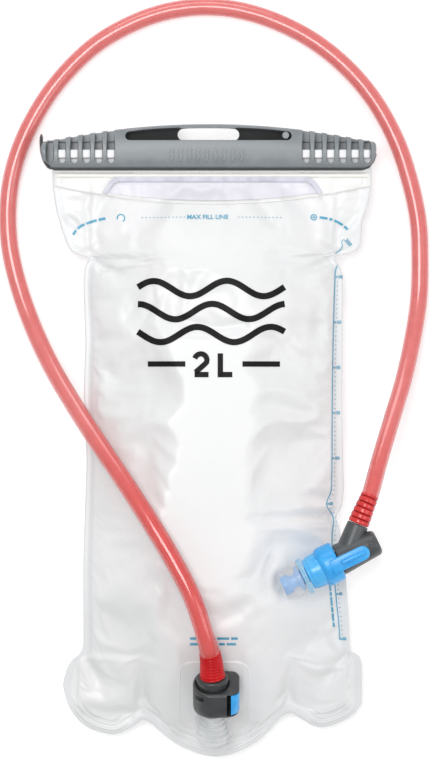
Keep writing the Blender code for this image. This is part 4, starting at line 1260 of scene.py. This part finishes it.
def bite_pieces():
    """The barrel, the flange, the clear sheath and the blue core inside it."""
    foot = COLLAR_FRONT - GAP
    barrel = [(0.0084, BARREL_FRONT), (0.0053, BARREL_FRONT), (0.0053, foot), (0.0086, foot),
              (0.0086, foot + 0.0012), (0.0094, foot + 0.0012), (0.0095, foot - 0.0006),
              (0.0092, BARREL_FRONT + 0.0024), (0.0086, BARREL_FRONT + 0.0016)]
    foot = BARREL_FRONT - GAP
    flange = [(0.0098, FLANGE_FRONT), (0.0042, FLANGE_FRONT), (0.0042, foot), (0.0100, foot),
              (0.0105, foot - 0.0008), (0.0099, foot - 0.0014), (0.0105, FLANGE_FRONT + 0.0008)]
    foot = FLANGE_FRONT - GAP
    sheath = [(0.0098, foot), (0.0096, -0.0250), (0.0093, -0.0290), (0.0086, -0.0318), (0.0074, -0.0334),
              (0.0064, MOUTH), (0.0058, MOUTH), (0.0064, -0.0328), (0.0076, -0.0310), (0.0082, -0.0285),
              (0.0085, -0.0250), (0.0087, foot)]
    # A black disc inside the core's open end is painted shade in its hollow
    hollow_shade = mm((0, -31.3), (4.1, -31.3), (4.1, -32.4), (0, -32.4))
    core = mm((0, -17), (4, -17), (4, -21.6), (7.2, -22.2), (7.2, -23.6), (4.4, -24.8), (3.6, -26.4),
              (4.2, -28), (5.3, -29.4), (5.5, -33), (4.7, -33.4), (4.3, -33), (4.3, -31.2), (0, -31.2))
    return [turned(name, profile, reach, VALVE_AXIS, look, "bite_valve", *rest, closed=closed)
            for name, profile, reach, look, closed, *rest in (
                ("valve_barrel_shell", barrel, 0.0004, LIGHT_BLUE, True, "light_blue", "valve_barrel"),
                ("bite_flange", flange, 0.0003, FLANGE_BLUE, True, "silicone", "valve_flange_ring"),
                ("bite_sheath_skin", sheath, 0.0005, SILICONE, True, "silicone", "bite_sheath"),
                ("bite_core_hollow", hollow_shade, 0.0003, SEAL_BLACK_AND_HOLLOW_SHADE, False, "blue"),
                ("bite_core_plug", core, 0.0005, BLUE, False, "blue", "bite_core"))]


ON_TUBE = elbow_pieces() + [collar_piece()] + bite_pieces()

# ---------------------------------------------------------------- drinking tube
BORE = 0.0032
CONNECTOR_STRETCH, ELBOW_STRETCH = 0.0155, 0.0165      # lengths of tube stretched over the barbs at its ends
FINE_PITCH, BARB_PITCH = 0.0018, 0.0030


def tube_radius(distance):
    """The tube's radius: it swells over the barbs inside both of its ends."""
    left = TUBE.length - distance
    radius = TUBE_RADIUS + 0.0003 * eased((0.30 - distance) / 0.12) + 0.0010 * eased(1 - left / 0.0200)
    radius += 0.0017 * max(0.0, 1 - distance / 0.0260) ** 1.3
    fine = math.cos(2 * math.pi * distance / FINE_PITCH)
    radius += 0.00018 * fine * eased((CONNECTOR_STRETCH - distance) / 0.001)
    groove = max(0.0, math.cos(2 * math.pi * left / BARB_PITCH)) ** 4
    return radius - 0.00050 * groove * eased((ELBOW_STRETCH - left) / 0.001)


def along_tube(distances, proud=0.0, radius=None, sides=40):
    """A solid round the tube's line, at a fixed radius or a little proud of the tube."""
    radii = [radius or tube_radius(d) + proud for d in distances]
    return sweep([TUBE.at(d) for d in distances], radii, sides)


def tube_stations():
    """Distances along the tube: close together over the barbs, further apart between."""
    fine, coarse, reach = 0.0003, 0.0022, 0.019
    near = [fine * i for i in range(round(reach / fine))]
    count = round((TUBE.length - 2 * reach) / coarse)
    middle = [between(reach, TUBE.length - reach, i / count) for i in range(count + 1)]
    return near + middle + [TUBE.length - distance for distance in near[::-1]]


def make_tube():
    stations = tube_stations()
    points = [tuple(TUBE.at(distance)) for distance in stations]

    def add(name, shape, look, *replaced):
        new_piece(name, shape, look, "drinking_line", "tube", *replaced, sharp=50)
    add("drinking_hose", along_tube(stations), TUBE_RED, "drinking_tube")
    for name, look, start, end in (("connector", DEEP_RED, 0.0, CONNECTOR_STRETCH),
                                   ("elbow", SLEEVE_RED, TUBE.length - ELBOW_STRETCH, TUBE.length)):
        part = [distance for distance in stations if start <= distance <= end]
        add(f"hose_{name}_end", along_tube(part, 0.00006), look)
    # Dark bands laid in the grooves over the elbow's barbs are painted shade
    grooves = [TUBE.length - BARB_PITCH * i for i in range(1, 6)]
    shade_bands = [
        along_tube([middle + step * 0.0002 for step in (-2, -1, 0, 1, 2)], 0.00012)
        for middle in grooves]
    add("hose_barb_painted_shade", joined(*shade_bands), BARB_GROOVE_SHADE)
    inside = [distance for distance in stations if 0.0006 < distance < TUBE.length - 0.0006]
    # The bore's pale colour, seen through the red shell, is painted light: glow through the tube's middle and
    # its highlight
    add("hose_bore_painted_light", along_tube(inside, radius=BORE, sides=28), TUBE_BORE_PAINTED_LIGHT)
    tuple(points[0])


make_tube()
